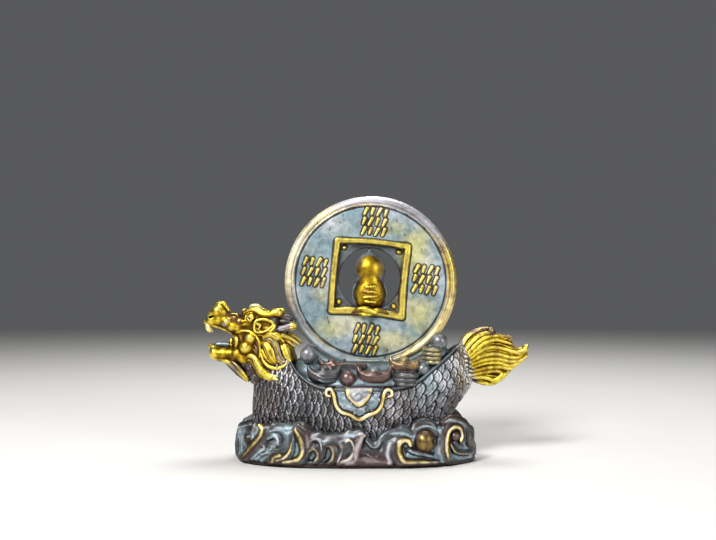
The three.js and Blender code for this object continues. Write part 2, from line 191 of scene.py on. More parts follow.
def cut_at_floor(points, groups, marks, underside):
    """Takes away what is under the floor and puts a single flat face in its place."""
    points[:, 2] = np.maximum(points[:, 2], 0)
    groups = [faces[(points[faces][..., 2] > 0).any(1)] for faces in groups]
    used = np.unique(np.concatenate([faces.ravel() for faces in groups]))
    order = np.zeros(len(points), int)
    order[used] = np.arange(len(used))
    groups = [order[faces] for faces in groups] + [np.arange(len(underside))[None] + len(used)]
    marks = {m: np.concatenate([v[used], np.zeros(len(underside))]) for m, v in marks.items()}
    return np.concatenate([points[used], underside]), groups, marks


# Tones of paint on the modelled lumps.
DARK, GOLD, GREY, WARM, COPPER, BLUE, PALE, HORN = range(8)
TONES = [
    {"warm": 0.3, "gold": 0.1},
    {"gold": 1.0},
    {"blue": 0.5, "warm": 0.35, "pale": 0.1},
    {"gold": 0.62, "warm": 0.8},
    {"warm": 0.8, "gold": 0.1},
    {"blue": 0.7, "green": 0.1},
    {"gold": 0.9, "pale": 0.55},
    {"gold": 0.16, "warm": 0.5, "pale": 0.4},
]


def front(points):
    """Turns distances from the middle plane, which come second, into the Y of the front half."""
    return [(x, -y, z) for x, y, z in points]


class Clay:
    """A lump that is modelled as distances on a grid, for the half in front of the middle plane.

    The other half mirrors it. tones keeps which tone of paint is nearest. In all the forms, soft is the
    size of the fillet that joins them to the lump, and cut takes them away instead.
    """

    def __init__(self, low, high, size, flatter=FLATTER):
        self.size, self.flatter = size, flatter
        self.low = np.array(low, float)
        self.low[1] = -math.ceil(-low[1] / size) * size
        top = [high[0], 0.0, high[2]]
        self.axes = [np.arange(round((t - l) / size) + 1) * size + l for l, t in zip(self.low, top)]
        shape = [len(a) for a in self.axes]
        self.field = np.full(shape, FAR, np.float32)
        self.tones = np.zeros(shape, np.int8)

    def window(self, low, high):
        """The part of the grid between two corners, as slices and as its places."""
        cuts = []
        for k in range(3):
            a = int((low[k] - self.low[k]) / self.size)
            b = int((high[k] - self.low[k]) / self.size) + 2
            last = len(self.axes[k])
            cuts.append(slice(min(max(a, 0), last), min(max(b, 0), last)))
        places = [axis[cut].astype(np.float32) for axis, cut in zip(self.axes, cuts)]
        return tuple(cuts), np.meshgrid(*places, indexing="ij", sparse=True)

    def merge(self, window, form, soft, tone, cut):
        """Joins a form to the lump or cuts it away."""
        old = -self.field[window] if cut else self.field[window]
        h = np.clip(0.5 + 0.5 * (old - form) / soft, 0, 1)
        new = old * (1 - h) + form * h - soft * h * (1 - h)
        if tone is not None:
            tones = self.tones[window]
            tones[h > 0.5] = tone
        self.field[window] = -new if cut else new

    def ball(self, centre, radii, soft, tone, cut=False, turn=0.0):
        """An ellipsoid, turned about Y."""
        centre, radii = np.array(centre, float), np.broadcast_to(radii, 3).astype(float)
        reach = radii.max() + soft + 2 * self.size
        window, (x, y, z) = self.window(centre - reach, centre + reach)
        y = y - centre[1]
        x, z = turned(x - centre[0], z - centre[2], turn)
        out = np.sqrt((x / radii[0]) ** 2 + (y / radii[1]) ** 2 + (z / radii[2]) ** 2)
        slope = np.sqrt((x / radii[0] ** 2) ** 2 + (y / radii[1] ** 2) ** 2 + (z / radii[2] ** 2) ** 2)
        form = out * (out - 1) / np.maximum(slope, 1e-6)
        self.merge(window, form.astype(np.float32), soft, tone, cut)

    def slab(self, outline, depths, rounding, soft, tone):
        """A body that has the outline from the side. depths has its half-width at each x.

        rounding is how far in from the outline it has that width.
        """
        edge = smooth([*outline, outline[0]])
        x, z = np.meshgrid(self.axes[0], self.axes[2], indexing="ij")
        far = polyline(x, z, edge)[0]
        far = np.where(inside(x, z, edge), far, -far)
        share = 1 - np.clip(far / rounding, 0, 1)
        half = np.interp(x, *zip(*depths)) * np.sqrt(1 - share**2)
        y = np.abs(self.axes[1])[None, :, None]
        form = np.maximum(SLAB_SLOPE * (y - half[:, None]), -far[:, None])
        self.merge((slice(None),) * 3, form.astype(np.float32), soft, tone, False)

    def take_surface(self, width):
        """Keeps how far the surface is from the middle plane, for strands that are laid on it."""
        solid = self.field < 0
        depth = np.where(solid.any(1), -self.axes[1][solid.argmax(1)], 0)
        self.depth = self.blurred(depth[:, None], width)[:, 0]

    def depth_at(self, x, z):
        steps = [round((v - self.low[k]) / self.size) for v, k in ((x, 0), (z, 2))]
        i, j = (min(max(s, 0), top - 1) for s, top in zip(steps, self.depth.shape))
        return self.depth[i, j]

    def lay(self, points, radii, tone, lift, soft, flat=1.0, hairs=0, cut=False):
        """A strand on the surface. Its points are x and z, and its middle is lift radii over it."""
        line = smooth(points)
        r = spread(radii, len(line))
        laid = [(x, -self.depth_at(x, z) - lift * q, z) for (x, z), q in zip(line, r)]
        self.bar(np.array(laid), r, soft, flat, tone, hairs, cut)

    def dab(self, x, z, radius, tone, lift, soft, cut=False):
        """A ball on the surface."""
        self.ball((x, -self.depth_at(x, z) - lift * radius, z), radius, soft, tone, cut)

    def strand(self, points, radii, soft, flat, tone, hairs=0):
        """A tapered bar along a smooth curve through the points."""
        line = smooth(points)
        self.bar(line, spread(radii, len(line)), soft, flat, tone, hairs)

    def bar(self, line, r, soft, flat, tone, hairs=0, cut=False):
        """A bar along a line, with a radius at each of its points.

        flat over 1 makes it thinner in Y, and under 1 wider. hairs is how many fine grooves run along it,
        on the whole way round.
        """
        reach = r.max() / min(flat, 1) + soft + 2 * self.size
        window, _ = self.window(line.min(0) - reach, line.max(0) + reach)
        form = np.full([s.stop - s.start for s in window], FAR, np.float32)
        for a, b, ra, rb in zip(line[:-1], line[1:], r[:-1], r[1:]):
            near, (x, y, z) = self.window(np.minimum(a, b) - reach, np.maximum(a, b) + reach)
            inner = tuple(slice(n.start - w.start, n.stop - w.start) for n, w in zip(near, window))
            dx, dy, dz = b[0] - a[0], (b[1] - a[1]) * flat, b[2] - a[2]
            x, y, z = x - a[0], (y - a[1]) * flat, z - a[2]
            t = np.clip((x * dx + y * dy + z * dz) / (dx * dx + dy * dy + dz * dz + 1e-9), 0, 1)
            radius = ra + t * (rb - ra)
            d = np.sqrt((x - t * dx) ** 2 + (y - t * dy) ** 2 + (z - t * dz) ** 2) - radius
            if hairs:
                across = (x * dz - z * dx) / (math.hypot(dx, dz) + 1e-9)
                depth = 0.09 * radius * step(0.45, 1.0, radius)
                d = d + depth * np.cos(hairs * np.arctan2(across, -y))
            form[inner] = np.minimum(form[inner], d)
        self.merge(window, form, soft, tone, cut)

    def box(self, centre, half, soft, rounding, tone):
        centre, half = np.array(centre, float), np.array(half, float)
        reach = np.linalg.norm(half) + soft + 2 * self.size
        window, (x, y, z) = self.window(centre - reach, centre + reach)
        past = [np.abs(v - c) - h + rounding for v, c, h in zip((x, y, z), centre, half)]
        out = np.sqrt(sum(np.maximum(v, 0) ** 2 for v in past))
        within = np.minimum(np.maximum(np.maximum(past[0], past[1]), past[2]), 0)
        self.merge(window, (out + within - rounding).astype(np.float32), soft, tone, False)

    def disc(self, centre, radius, half, rounding, tone, soft=0.1):
        """A round slab whose axis is upright."""
        centre = np.array(centre, float)
        reach = np.array([radius, radius, half]) + soft + 2 * self.size
        window, (x, y, z) = self.window(centre - reach, centre + reach)
        out = np.hypot(x - centre[0], y - centre[1]) - radius + rounding
        up = np.abs(z - centre[2]) - half + rounding
        past, within = np.hypot(np.maximum(out, 0), np.maximum(up, 0)), np.minimum(np.maximum(out, up), 0)
        self.merge(window, (past + within - rounding).astype(np.float32), soft, tone, False)

    def whole(self, half):
        """Adds the mirrored half. The middle plane is the last layer of both."""
        return np.concatenate([half, half[:, -2::-1]], 1)

    def sample(self, values, at):
        """Reads a grid at places given in grid steps, with straight steps between its points."""
        i = np.clip(np.floor(at).astype(int), 0, np.array(values.shape) - 2)
        f = at - i
        total = 0
        for corner in np.ndindex(2, 2, 2):
            weight = np.prod(np.where(corner, f, 1 - f), axis=1)
            j = i + corner
            total = total + weight * values[j[:, 0], j[:, 1], j[:, 2]]
        return total

    def blurred(self, values, width):
        """Averages over about the given width, twice along each axis."""
        taps = max(1, round(width / self.size / 2))
        for _ in range(2):
            for axis in range(3):
                edge = [(0, 0)] * 3
                edge[axis] = (taps + 1, taps)
                sums = np.cumsum(np.pad(values, edge, "edge"), axis=axis, dtype=np.float32)
                n = values.shape[axis]
                high = np.take(sums, np.arange(2 * taps + 1, 2 * taps + 1 + n), axis)
                low = np.take(sums, np.arange(0, n), axis)
                values = (high - low) / (2 * taps + 1)
        return values

    def finish(self, name, material, tones, paint, underside=None):
        """Makes the mesh. tones has the marks of each tone, and paint changes the marks afterwards."""
        field = self.whole(self.field)
        grid = openvdb.FloatGrid(FAR)
        grid.copyFromArray(field)
        at, *groups = grid.convertToPolygons(0.0, self.flatter)
        points = at * self.size + self.low
        groups = facing_out(points, groups)
        # The blurred distance is over nought on the surface where it is proud, and under it in a hollow.
        # The edge mark made from it gives painted highlights where proud and painted shade in hollows.
        edge = sum(self.sample(self.blurred(np.clip(field, -w, w), w), at) / w for w in EDGE_WIDTHS)
        near = self.whole(self.tones)
        i = np.clip(np.rint(at).astype(int), 0, np.array(near.shape) - 1)
        tone = near[i[:, 0], i[:, 1], i[:, 2]]
        marks = {m: np.array([t.get(m, 0.0) for t in tones])[tone] for m in MARKS}
        marks["edge"] = np.clip(edge / EDGE_FULL, -1, 1)
        paint(points, marks)
        if underside is not None:
            points, groups, marks = cut_at_floor(points, groups, marks, underside)
        piece(name, points, groups, marks, material)


# The plinth of waves.

WAVES_BOX = (-59, -27.6, -0.6), (50, 0, 21.6)
WAVES_GRID = 0.345
# The plan is a rounded oblong: its middle, half its length and width, and the power of its corners.
PLINTH = {"middle": -4.6, "length": 51.6, "width": 24.6, "power": 0.8}
# The height of the plain band at the foot.
FOOT = 1.6
# How far in the wall is, by height.
WALL_INSET = [0, 0.8, 2.2, 10, 15, 20], [1.5, 0.9, 1.0, 1.0, 1.8, 3.0]
# The ends of the stretch of wall that carries ridges.
WALL_ENDS = -55.4, 46.2
# The waves' tops: how much they sink inwards, over which stretch inside the wall, how steep the wall
# is compared with them, and how round their corner with the wall is.
TOP = {"sinks": 0.4, "from": -2, "reach": 14, "slope": 0.8, "round": 0.8}
# Tones of paint: the waves' flanks, the troughs between them, and a brown tone of painted shade for the
# pits and the foot. The ridges' own follow.
FLANK, TROUGH, SHADE = range(3)
WAVE_TONES = [{"warm": 0.15, "blue": 0.45}, {"blue": 0.95, "pale": 0.15}, {"warm": 0.3}]
# The fine rills beside each ridge: their distances to its left, their radius and how proud they are.
RILLS = {"shifts": (-1.326, -2.028, 2.028, 2.73), "radius": 0.3, "proud": 0.1}
# The waves' tops along the front: place and height.
WAVE_TOPS = [
    (-57, 13.6), (-53, 15.4), (-50, 16.6), (-47, 17.0), (-43.5, 15.2), (-39.6, 15.8), (-35.8, 16.4),
    (-32.6, 14.9), (-30.6, 15.6), (-28, 17.6), (-25, 15.8), (-23.6, 12.4), (-21.6, 12.9), (-19.4, 12.9),
    (-17.8, 12.0), (-15.3, 12.2), (-11.6, 12.0), (-9.6, 12.6), (-7.5, 14.4), (-5.0, 14.2), (-2.9, 15.1),
    (-0.4, 13.4), (2.4, 10.0), (4.0, 10.6), (5.6, 13.0), (8.4, 14.9), (12.0, 15.3), (16.0, 14.9),
    (18.0, 13.8), (20.0, 16.6), (22.8, 17.6), (26.0, 17.2), (29.5, 15.4), (32.0, 18.8), (35.4, 19.6),
    (39.0, 18.8), (42.2, 15.6), (44.6, 12.4), (46.6, 7.6), (49.6, 3.4),
]
# Ridges on the waves: points along them, half-widths, height, then how gold, blue and warm they are.
RIDGES = [
    # The first wave, which turns round the end.
    ([(-54.6, 2.6), (-55.8, 8), (-55, 12.6), (-52.6, 15), (-50.2, 14), (-50.8, 12.2)],
     (1, 1.3, 1.3, 1.2, 0.9, 0.4), 1.1, 0.1, 0.3, 0.3),
    ([(-56.2, 2.6), (-56.4, 8), (-56.2, 12.6)], (1, 1.4, 0.8), 0.7, 0.15, 0.1, 0.3),
    ([(-44.6, 16.2), (-43.2, 14.6), (-44, 11.7), (-47, 8), (-51.6, 2.4)],
     (0.8, 1.2, 1.2, 1.1, 1.0), 2.2, 0.95, 0.2, 0),
    ([(-50, 3), (-47.2, 9), (-47.8, 12.4), (-47, 16.4)], (0.5, 0.9, 0.9, 0.6), 1.0, 0, 0.9, 0),
    # The second, a hood with streams that flow down to the left.
    ([(-40, 14.2), (-37.4, 15.2), (-34.6, 14.8), (-32.9, 12.9), (-33, 9.8), (-36, 7.2), (-43.3, 5)],
     (0.9, 1.5, 1.6, 1.5, 1.3, 1, 0.5), 1.9, 0, 0.25, 0.2),
    ([(-40.4, 11.2), (-38.1, 12.6), (-36.4, 11.3), (-36, 9.2)], (0.4, 0.9, 0.8, 0.3), 1.7, 0.25, 0.75, 0),
    ([(-33, 7.2), (-38.5, 7.4), (-42, 5.4), (-45.6, 2.6)], (0.3, 0.55, 0.55, 0.4), 1.1, 0.05, 0.8, 0),
    ([(-34, 5.4), (-38.4, 5.6), (-41.4, 4), (-43.4, 2.2)], (0.3, 0.5, 0.5, 0.4), 1.0, 0.05, 0.7, 0),
    ([(-43.6, 9.4), (-42, 7.6), (-44.4, 5.6), (-47.4, 2.6)], (0.3, 0.6, 0.6, 0.4), 1.1, 0.05, 0.8, 0),
    ([(-38.6, 2.2), (-37.6, 4.2), (-35.4, 5)], (0.9, 1.3, 0.8), 1.9, 0.95, 0, 0),
    # The third, a flame with two branches.
    ([(-31, 9), (-31.2, 11.6), (-30.3, 14.6), (-28, 17.2)], (0.4, 0.8, 0.9, 0.6), 1.7, 0.1, 0, 0.2),
    ([(-28, 17), (-25.2, 15), (-24.1, 12.2), (-24.2, 8.4)], (0.7, 1.3, 1.2, 0.6), 1.7, 0.4, 0, 0.3),
    ([(-30.4, 10.4), (-31.2, 7.2), (-33.4, 4.2), (-36.8, 3)], (0.3, 0.6, 0.8, 0.6), 1.7, 0.75, 0.1, 0),
    ([(-29, 15), (-27.1, 12.3), (-26, 9.4), (-26.2, 6.1), (-28.4, 3.4), (-34, 2.1)],
     (0.7, 1.2, 1.2, 1, 0.8, 0.5), 2.0, 0.8, 0.1, 0),
    # The fourth, fifth and sixth, a row of hoods with a crescent in each.
    ([(-23.6, 8.6), (-23.2, 11), (-21.6, 12), (-19.8, 11.8), (-18.7, 10), (-18.4, 5)],
     (0.5, 1, 1.2, 1.2, 1, 0.6), 1.7, 0, 0.15, 0.3),
    ([(-23.7, 6.8), (-22, 8.1), (-20.3, 7.2), (-19.9, 5), (-21.6, 2.7)],
     (0.4, 0.9, 1, 0.9, 0.4), 1.8, 0.6, 0.4, 0),
    ([(-17.9, 9.6), (-16, 11), (-13, 11.2), (-10.7, 10), (-10.2, 7.2), (-12, 3)],
     (0.6, 1.4, 1.6, 1.5, 1.3, 0.7), 1.7, 0, 0.15, 0.35),
    ([(-16.8, 9.2), (-15, 9.2), (-13.8, 7.2), (-14.2, 4.2), (-16, 2.3)],
     (0.4, 0.8, 0.9, 0.8, 0.4), 1.8, 0.6, 0.4, 0),
    ([(-9.8, 11.4), (-7.9, 13), (-5.2, 12.9), (-3, 13.8)], (0.6, 1.1, 1, 0.8), 1.5, 0.1, 0.2, 0.2),
    ([(-8.8, 10.6), (-7.1, 11.6), (-5.8, 9.8), (-6, 6.5), (-7.9, 3.9), (-12, 2.1)],
     (0.4, 0.8, 0.9, 0.9, 0.8, 0.4), 1.9, 0.65, 0.3, 0),
    # The broad swell in the middle.
    ([(-4.6, 4), (-4.4, 9), (-2.8, 12.6), (-1.4, 13.6)], (0.8, 2.2, 1.5, 0.8), 1.9, 0.55, 0.15, 0.45),
    ([(-9, 2), (-3, 3.2), (3, 3.4), (9, 2.4)], (1.2, 2.6, 2.6, 1.2), 1.5, 0.32, 0.35, 0.6),
    ([(-1, 6.4), (2.3, 5), (4.9, 6.4), (6, 9)], (0.5, 0.8, 0.8, 0.4), 1.1, 0.15, 0.55, 0.3),
    # The seventh, a broad hood over a hook.
    ([(-0.4, 11.2), (1.8, 9), (3.8, 9.3), (5.4, 12), (8, 13.8), (11, 14.1), (14.6, 14), (17.8, 12.6)],
     (0.6, 0.8, 0.9, 1.2, 1.4, 1.4, 1.2, 0.6), 1.9, 0, 0.3, 0.1),
    ([(8.4, 2.4), (7.9, 6), (8.2, 8.7), (9.4, 10.9), (11.2, 11.9)],
     (1.1, 1.4, 1.3, 1, 0.5), 1.6, 0.25, 0.35, 0.5),
    ([(28, 2.2), (20.4, 2.5), (15, 2.7), (12.9, 5), (12.1, 8), (12.6, 10.2), (14.4, 11.4), (16.2, 11),
      (17, 9.4)],
     (0.5, 0.9, 1, 1.1, 1.2, 1.2, 1.1, 1, 0.6), 2.3, 0.85, 0.1, 0),
    ([(16.8, 7), (19.8, 5.8), (26, 4.4)], (0.4, 0.6, 0.4), 1.1, 0.2, 0.8, 0),
    # The eighth, a hood over a ball of foam, and a stream.
    ([(18.1, 11.4), (19.8, 14.8), (22.6, 16.2), (25.6, 15.8), (28, 13)],
     (0.6, 1.1, 1.3, 1.2, 0.6), 1.7, 0.05, 0.2, 0.1),
    ([(29.4, 14.8), (29.9, 10), (29.4, 6), (30.4, 2.2)], (1.1, 1.3, 1.2, 0.9), 1.0, 0, 0.9, 0),
    # The ninth, the highest.
    ([(31, 17.6), (34.7, 18.4), (38.6, 17.8), (41.8, 15), (42.4, 11.4), (41.6, 8)],
     (1, 1.8, 2, 1.9, 1.5, 0.7), 2.0, 0.05, 0.05, 0.4),
    ([(32.8, 2.2), (31.8, 7.2), (32.2, 12.1), (33.9, 14.8), (36.5, 15.7), (38.5, 14.6), (38.8, 12),
      (37.8, 9.8)],
     (0.6, 0.9, 1, 1.1, 1.1, 1, 0.8, 0.4), 2.1, 0.75, 0.1, 0),
    ([(33.8, 9), (36.1, 5.5), (40.3, 4.3), (44.4, 4.2)], (0.4, 0.6, 0.6, 0.4), 1.1, 0.5, 0.2, 0),
    ([(41.6, 10), (44, 7), (45.6, 3.6)], (0.8, 1.2, 1.3), 1.0, 0.1, 0.1, 0.3),
]
# Round knobs: place, radius, how far they stand out, then how gold, blue and warm they are.
KNOBS = [
    ((-49.8, 10.4), 2.3, 1.8, 0.05, 0.1, 0.1),
    ((23.3, 10.6), 4.8, 3.6, 0.33, 0.15, 0.45),
    ((36.4, 11.8), 2.2, 1.9, 0.1, 0.45, 0.6),
]
# Pits: place, radius and depth.
PITS = [((26.6, 10.9), 1.3, 1.9), ((16, 8.6), 1.0, 0.7), ((-38.6, 10.6), 1.2, 0.5)]
# Pale blue hollows: place, radii and depth.
HOLLOWS = [
    ((-28.8, 7.6), (2.4, 4.6), 0.5), ((-23, 4.6), (2.0, 2.2), 0.5), ((-16.8, 5.2), (1.9, 3.2), 0.5),
    ((-9.2, 7.4), (2.2, 3.6), 0.5), ((20.6, 3.9), (5.2, 1.6), 0.4), ((-45, 6.6), (2.6, 3.4), 0.2),
    ((0.8, 11), (1.8, 2), 0.4), ((5.6, 5), (2.4, 2), 0.3),
]
# Gilded places beside the crests: middle, radius and strength.
GLEAMS = [
    ((22.4, 12.0), 2.6, 0.6), ((37.2, 16.4), 2.4, 0.6), ((-28.2, 15.2), 2.0, 0.5),
    ((-47.6, 14.6), 1.8, 0.5), ((-36.4, 3.4), 1.8, 0.6), ((44.4, 6.6), 1.6, 0.4),
]
# Painted lilac sheen, a highlight on the broad crests: places along them, half-width and strength.
SHEENS = [
    ([(-1.2, 13.2), (-3.2, 10.6), (-4.6, 7.6), (-5.6, 4.6), (-8.4, 2.6)], 1.5, 0.9),
    ([(-8.6, 11.4), (-6.8, 11.2), (-5.4, 8.8)], 0.7, 0.7),
    ([(-3.4, 4.4), (0.6, 4.2), (4.6, 3.2), (8.6, 2.6)], 1.1, 0.6),
    ([(8.6, 3.2), (8.2, 6.4), (8.8, 9.6), (10.6, 11.6)], 1.0, 0.7),
    ([(-24.6, 13.6), (-24.0, 10.6), (-24.6, 7.6)], 0.9, 0.5),
    ([(-11.0, 10.2), (-10.4, 7.4), (-12, 4)], 0.9, 0.5),
    ([(30.2, 14.6), (29.8, 9.6), (29.8, 4.4)], 1.0, 0.5),
]
# The curls at the end towards the head, with the distance from the middle plane second.
ENDS = [
    [(-55.0, 4.6, 2.6), (-55.2, 3.6, 6.2), (-55.2, 1.2, 8.6), (-54.8, 1.0, 11.4), (-54.2, 3.0, 13.0)],
    [(-54.8, 7.6, 3.0), (-54.8, 6.2, 7.0), (-54.8, 4.2, 9.6), (-54.4, 5.0, 11.8), (-53.8, 6.6, 12.2)],
]


def front_outline(steps):
    """The front half of the plinth's plan, from its left end to its right."""
    angle = np.linspace(math.pi, 0, steps)
    c, s = np.cos(angle), np.sin(angle)
    x = PLINTH["middle"] + np.sign(c) * np.abs(c) ** PLINTH["power"] * PLINTH["length"]
    y = -(s ** PLINTH["power"]) * PLINTH["width"]
    return x, y


class Wall:
    """The plinth's wall. Places on it have an x, a height and a distance by which they stand out."""

    def __init__(self):
        self.x, self.y = front_outline(4000)
        way = np.stack([np.gradient(self.x), np.gradient(self.y)])
        self.out = np.stack([way[1], -way[0]]) / np.linalg.norm(way, axis=0)
        self.tops = smooth(WAVE_TOPS, 6 * len(WAVE_TOPS))

    def inset(self, z):
        return np.interp(z, *WALL_INSET)

    def top(self, x):
        return np.interp(x, self.tops[:, 0], self.tops[:, 1])

    def place(self, x, z, proud):
        x = np.clip(x, *WALL_ENDS)
        y, out_x, out_y = (np.interp(x, self.x, v) for v in (self.y, self.out[0], self.out[1]))
        out = proud - self.inset(z)
        return np.stack([x + out_x * out, y + out_y * out, z], -1)

    def underside(self):
        """The outline of the plinth's flat underside."""
        x, y = front_outline(90)
        across = x - PLINTH["middle"]
        scale = 1 - self.inset(0) / np.hypot(across, y)
        rim = np.stack([PLINTH["middle"] + across * scale, y * scale], -1)
        rim = np.concatenate([rim, (rim * (1, -1))[-2:0:-1]])
        return np.column_stack([rim, np.zeros(len(rim))])


class Crest:
    """A ridge on the wall: the line along its middle, its radii and the way to its left."""

    def __init__(self, wall, points, widths, height, gold, blue, warm):
        self.line = smooth(points)
        self.radii = spread(widths, len(self.line)) * (1.45 if gold > 0.7 else 1.2)
        self.height, self.gold = height, gold
        self.tones = {"gold": 0.1 * gold, "blue": blue + 0.2, "warm": 0.7 * warm}
        way = np.gradient(self.line, axis=0)
        way /= np.linalg.norm(way, axis=1, keepdims=True) + 1e-9
        self.left = np.stack([-way[:, 1], way[:, 0]], -1)
        self.middle = wall.place(self.line[:, 0], self.line[:, 1], height - self.radii)

    def beside(self, clay, wall, shift, proud, radii, tone, cut=False):
        """A bar along one side, at a distance to the left, where that is below the hoods' edges."""
        shift, proud, radii = (np.broadcast_to(v, len(self.line)) for v in (shift, proud, radii))
        at = self.line + self.left * shift[:, None]
        below_top = 0.2 if cut else -0.4
        keep = (at[:, 1] > 1.4) & (at[:, 1] < wall.top(at[:, 0]) - below_top)
        if keep.sum() > 3:
            middle = wall.place(at[keep, 0], at[keep, 1], (proud - radii)[keep])
            clay.bar(middle, radii[keep], 0.5, 1, tone, cut=cut)


def plinth_body(clay, wall):
    """Fills the plinth up to the waves' tops. Gives back how far each place is outside its plan."""
    x, y = np.meshgrid(clay.axes[0], clay.axes[1], indexing="ij")
    middle, power = PLINTH["middle"], 2 / PLINTH["power"]
    along_x, along_y = np.abs((x - middle) / PLINTH["length"]), np.abs(y / PLINTH["width"])
    reach = (along_x**power + along_y**power + 1e-6) ** (1 / power)
    outside = (reach - 1) / np.hypot(*np.gradient(reach, clay.size))
    sunk = TOP["sinks"] * np.clip(outside - TOP["from"], -TOP["reach"], 0)
    top = wall.top(middle + (x - middle) / reach) + sunk
    side = outside[..., None] + wall.inset(clay.axes[2])
    up = TOP["slope"] * (clay.axes[2] - top[..., None])
    clay.field = (0.5 * (side + up + np.sqrt((side - up) ** 2 + TOP["round"]))).astype(np.float32)
    return outside


def wave_relief(clay, wall, crests):
    """Lays the ridges on the plinth, with troughs, flanks and rills beside them. Gives back the tones."""
    for (x, z), (width, high), depth in HOLLOWS:
        deep = 1.2 * width
        clay.ball(wall.place(x, z, deep - 0.9 - depth), (width, deep, high), 0.5, TROUGH, cut=True)
    for crest in crests:
        r = crest.radii
        crest.beside(clay, wall, -1.9 * r, 2.2 * r - 0.5, 1.1 * r, TROUGH, cut=True)
    for crest in crests:
        crest.beside(clay, wall, crest.radii, 0.75 * crest.height, 1.25 * crest.radii, FLANK)
    for crest in crests:
        for shift in RILLS["shifts"]:
            crest.beside(clay, wall, shift, RILLS["proud"], RILLS["radius"], TROUGH)
    tones = [*WAVE_TONES]
    for crest in crests:
        clay.bar(crest.middle, crest.radii, 0.45, 1, len(tones))
        tones.append(crest.tones)
    for (x, z), radius, height, gold, blue, warm in KNOBS:
        clay.ball(wall.place(x, z, height - radius), radius, 0.2, len(tones))
        tones.append({"gold": gold, "blue": blue, "warm": warm})
    for (x, z), radius, depth in PITS:
        clay.ball(wall.place(x, z, 3.4 - 0.4 * depth), radius, 0.3, SHADE, cut=True)
    return tones


def waves(material):
    wall = Wall()
    clay = Clay(*WAVES_BOX, WAVES_GRID)
    outside = plinth_body(clay, wall)
    crests = [Crest(wall, *ridge) for ridge in RIDGES]
    tones = wave_relief(clay, wall, crests)
    # The foot is a plain band.
    band = slice(0, int((FOOT - clay.low[2]) / clay.size))
    plain = outside[..., None] + wall.inset(clay.axes[2][band]) - 0.2
    clay.field[..., band] = np.maximum(plain, clay.field[..., band])
    clay.tones[..., band] = SHADE
    # The end towards the head has a pair of curls that meet.
    for end in ENDS:
        clay.strand(front(end), (0.7, 1.1, 1.1, 0.9, 0.5), 0.5, 1, FLANK)

    def paint(points, marks):
        paint_waves(points[:, 0], points[:, 2], marks, wall, crests)

    clay.finish("waves", material, tones, paint, wall.underside())


def paint_crests(x, z, crests, ragged):
    """How gilded the gilded ridges are, with a painted highlight along their middles and painted shade on
    their flanks, and the slim painted highlight lines on the others.
    """
    gold, crest_highlight, shaded_flank, line = (np.zeros(len(x)) for _ in range(4))
    fade = step(-1.0, 5.5, z)
    for crest in crests:
        path = crest.middle[:, ::2]
        low, high = path.min(0) - 3, path.max(0) + 3
        near = np.flatnonzero((x > low[0]) & (x < high[0]) & (z > low[1]) & (z < high[1]))
        far, at = polyline(x[near], z[near], path)
        off = far / along(crest.radii, at) + 0.12 * ragged[near]
        if crest.gold > 0.3:
            highlight_share = min(1, 1.5 * crest.gold) * step(0.6, 0.05, off) * fade[near]
            gold[near] = np.maximum(gold[near], crest.gold * step(1.2, 0.3, off) * fade[near])
            crest_highlight[near] = np.maximum(crest_highlight[near], highlight_share)
            shaded_flank[near] = np.maximum(shaded_flank[near], crest.gold * bump(off - 0.9, 0.4))
        else:
            line[near] = np.maximum(line[near], step(0.42, 0.1, off))
    return gold, crest_highlight, shaded_flank, line


def paint_waves(x, z, marks, wall, crests):
    """Gilded crests and gleams, painted sheens and highlight lines along the other crests and the tops, and
    painted shade on the gilded crests' flanks and over the brown foot.
    """
    edge = marks["edge"]
    ragged = noise(x, 0, z, 1.6, 7)
    patchy = np.clip(0.75 + 0.5 * noise(x, 0, z, 5, 6), 0, 1)
    gold, crest_highlight, shaded_flank, line = paint_crests(x, z, crests, ragged)
    for (px, pz), radius, strength in GLEAMS:
        gleam = strength * bump(np.hypot(x - px, z - pz) / radius, 1) * step(-0.2, 0.5, edge)
        gold = np.maximum(gold, gleam)
    # The sheen is a painted highlight.
    sheen = np.zeros(len(x))
    for path, width, strength in SHEENS:
        far = from_line(x, z, path)[0] + 0.3 * ragged
        sheen = np.maximum(sheen, strength * bump(far, width) * step(-0.9, 0, edge))
    # rim is a painted highlight line just under the waves' tops.
    rim = bump(wall.top(x) - z - 0.9, 0.45) * step(-0.6, 0.3, noise(x, 0, z, 4, 9))
    line = np.maximum(line * step(-0.5, 0.4, noise(x, 0, z, 5, 10)), rim)
    line *= 1 - np.clip(2 * gold, 0, 1)
    streak = step(-0.2, 0.8, noise(1.4 * x, 0, 0.5 * z, 1.4, 8)) * step(0.6, 0.9, marks["blue"])
    up = step(-0.2, 0.6, edge)
    marks["gold"] = np.maximum(marks["gold"], 0.8 * gold * up * (0.3 + 0.7 * patchy))
    marks["warm"] = np.clip(marks["warm"] + 0.5 * shaded_flank + 0.6 * sheen, 0, 1)
    blue = marks["blue"] * (0.75 + 0.3 * noise(x, 0, z, 4, 5)) + 0.5 * line - 0.5 * gold
    marks["blue"] = np.clip(blue, 0, 1)
    pale = 0.9 * crest_highlight * up * patchy + 0.55 * line + 0.4 * streak * (1 - gold) + 0.6 * sheen
    marks["pale"] = np.clip(pale, 0, 1)
    # Painted shade on the gilded crests' flanks, and painted highlights held down away from gold and lines.
    brightest = 0.5 + 0.5 * np.maximum(gold, line)
    marks["edge"] = np.clip(edge - 0.5 * shaded_flank * (1 - crest_highlight), -1, brightest)
    # The foot is brown and darkened with painted shade.
    low = step(FOOT + 0.6, FOOT - 0.2, z)
    for mark in ("gold", "blue", "pale"):
        marks[mark] *= 1 - low
    marks["edge"] -= 0.5 * low


# The hull, with its scales.

# Its grid, and the half-length that the search for the places of the grid's points starts from.
HULL_GRID = {"columns": 322, "rows": 112}
HULL_REACH = 43.0
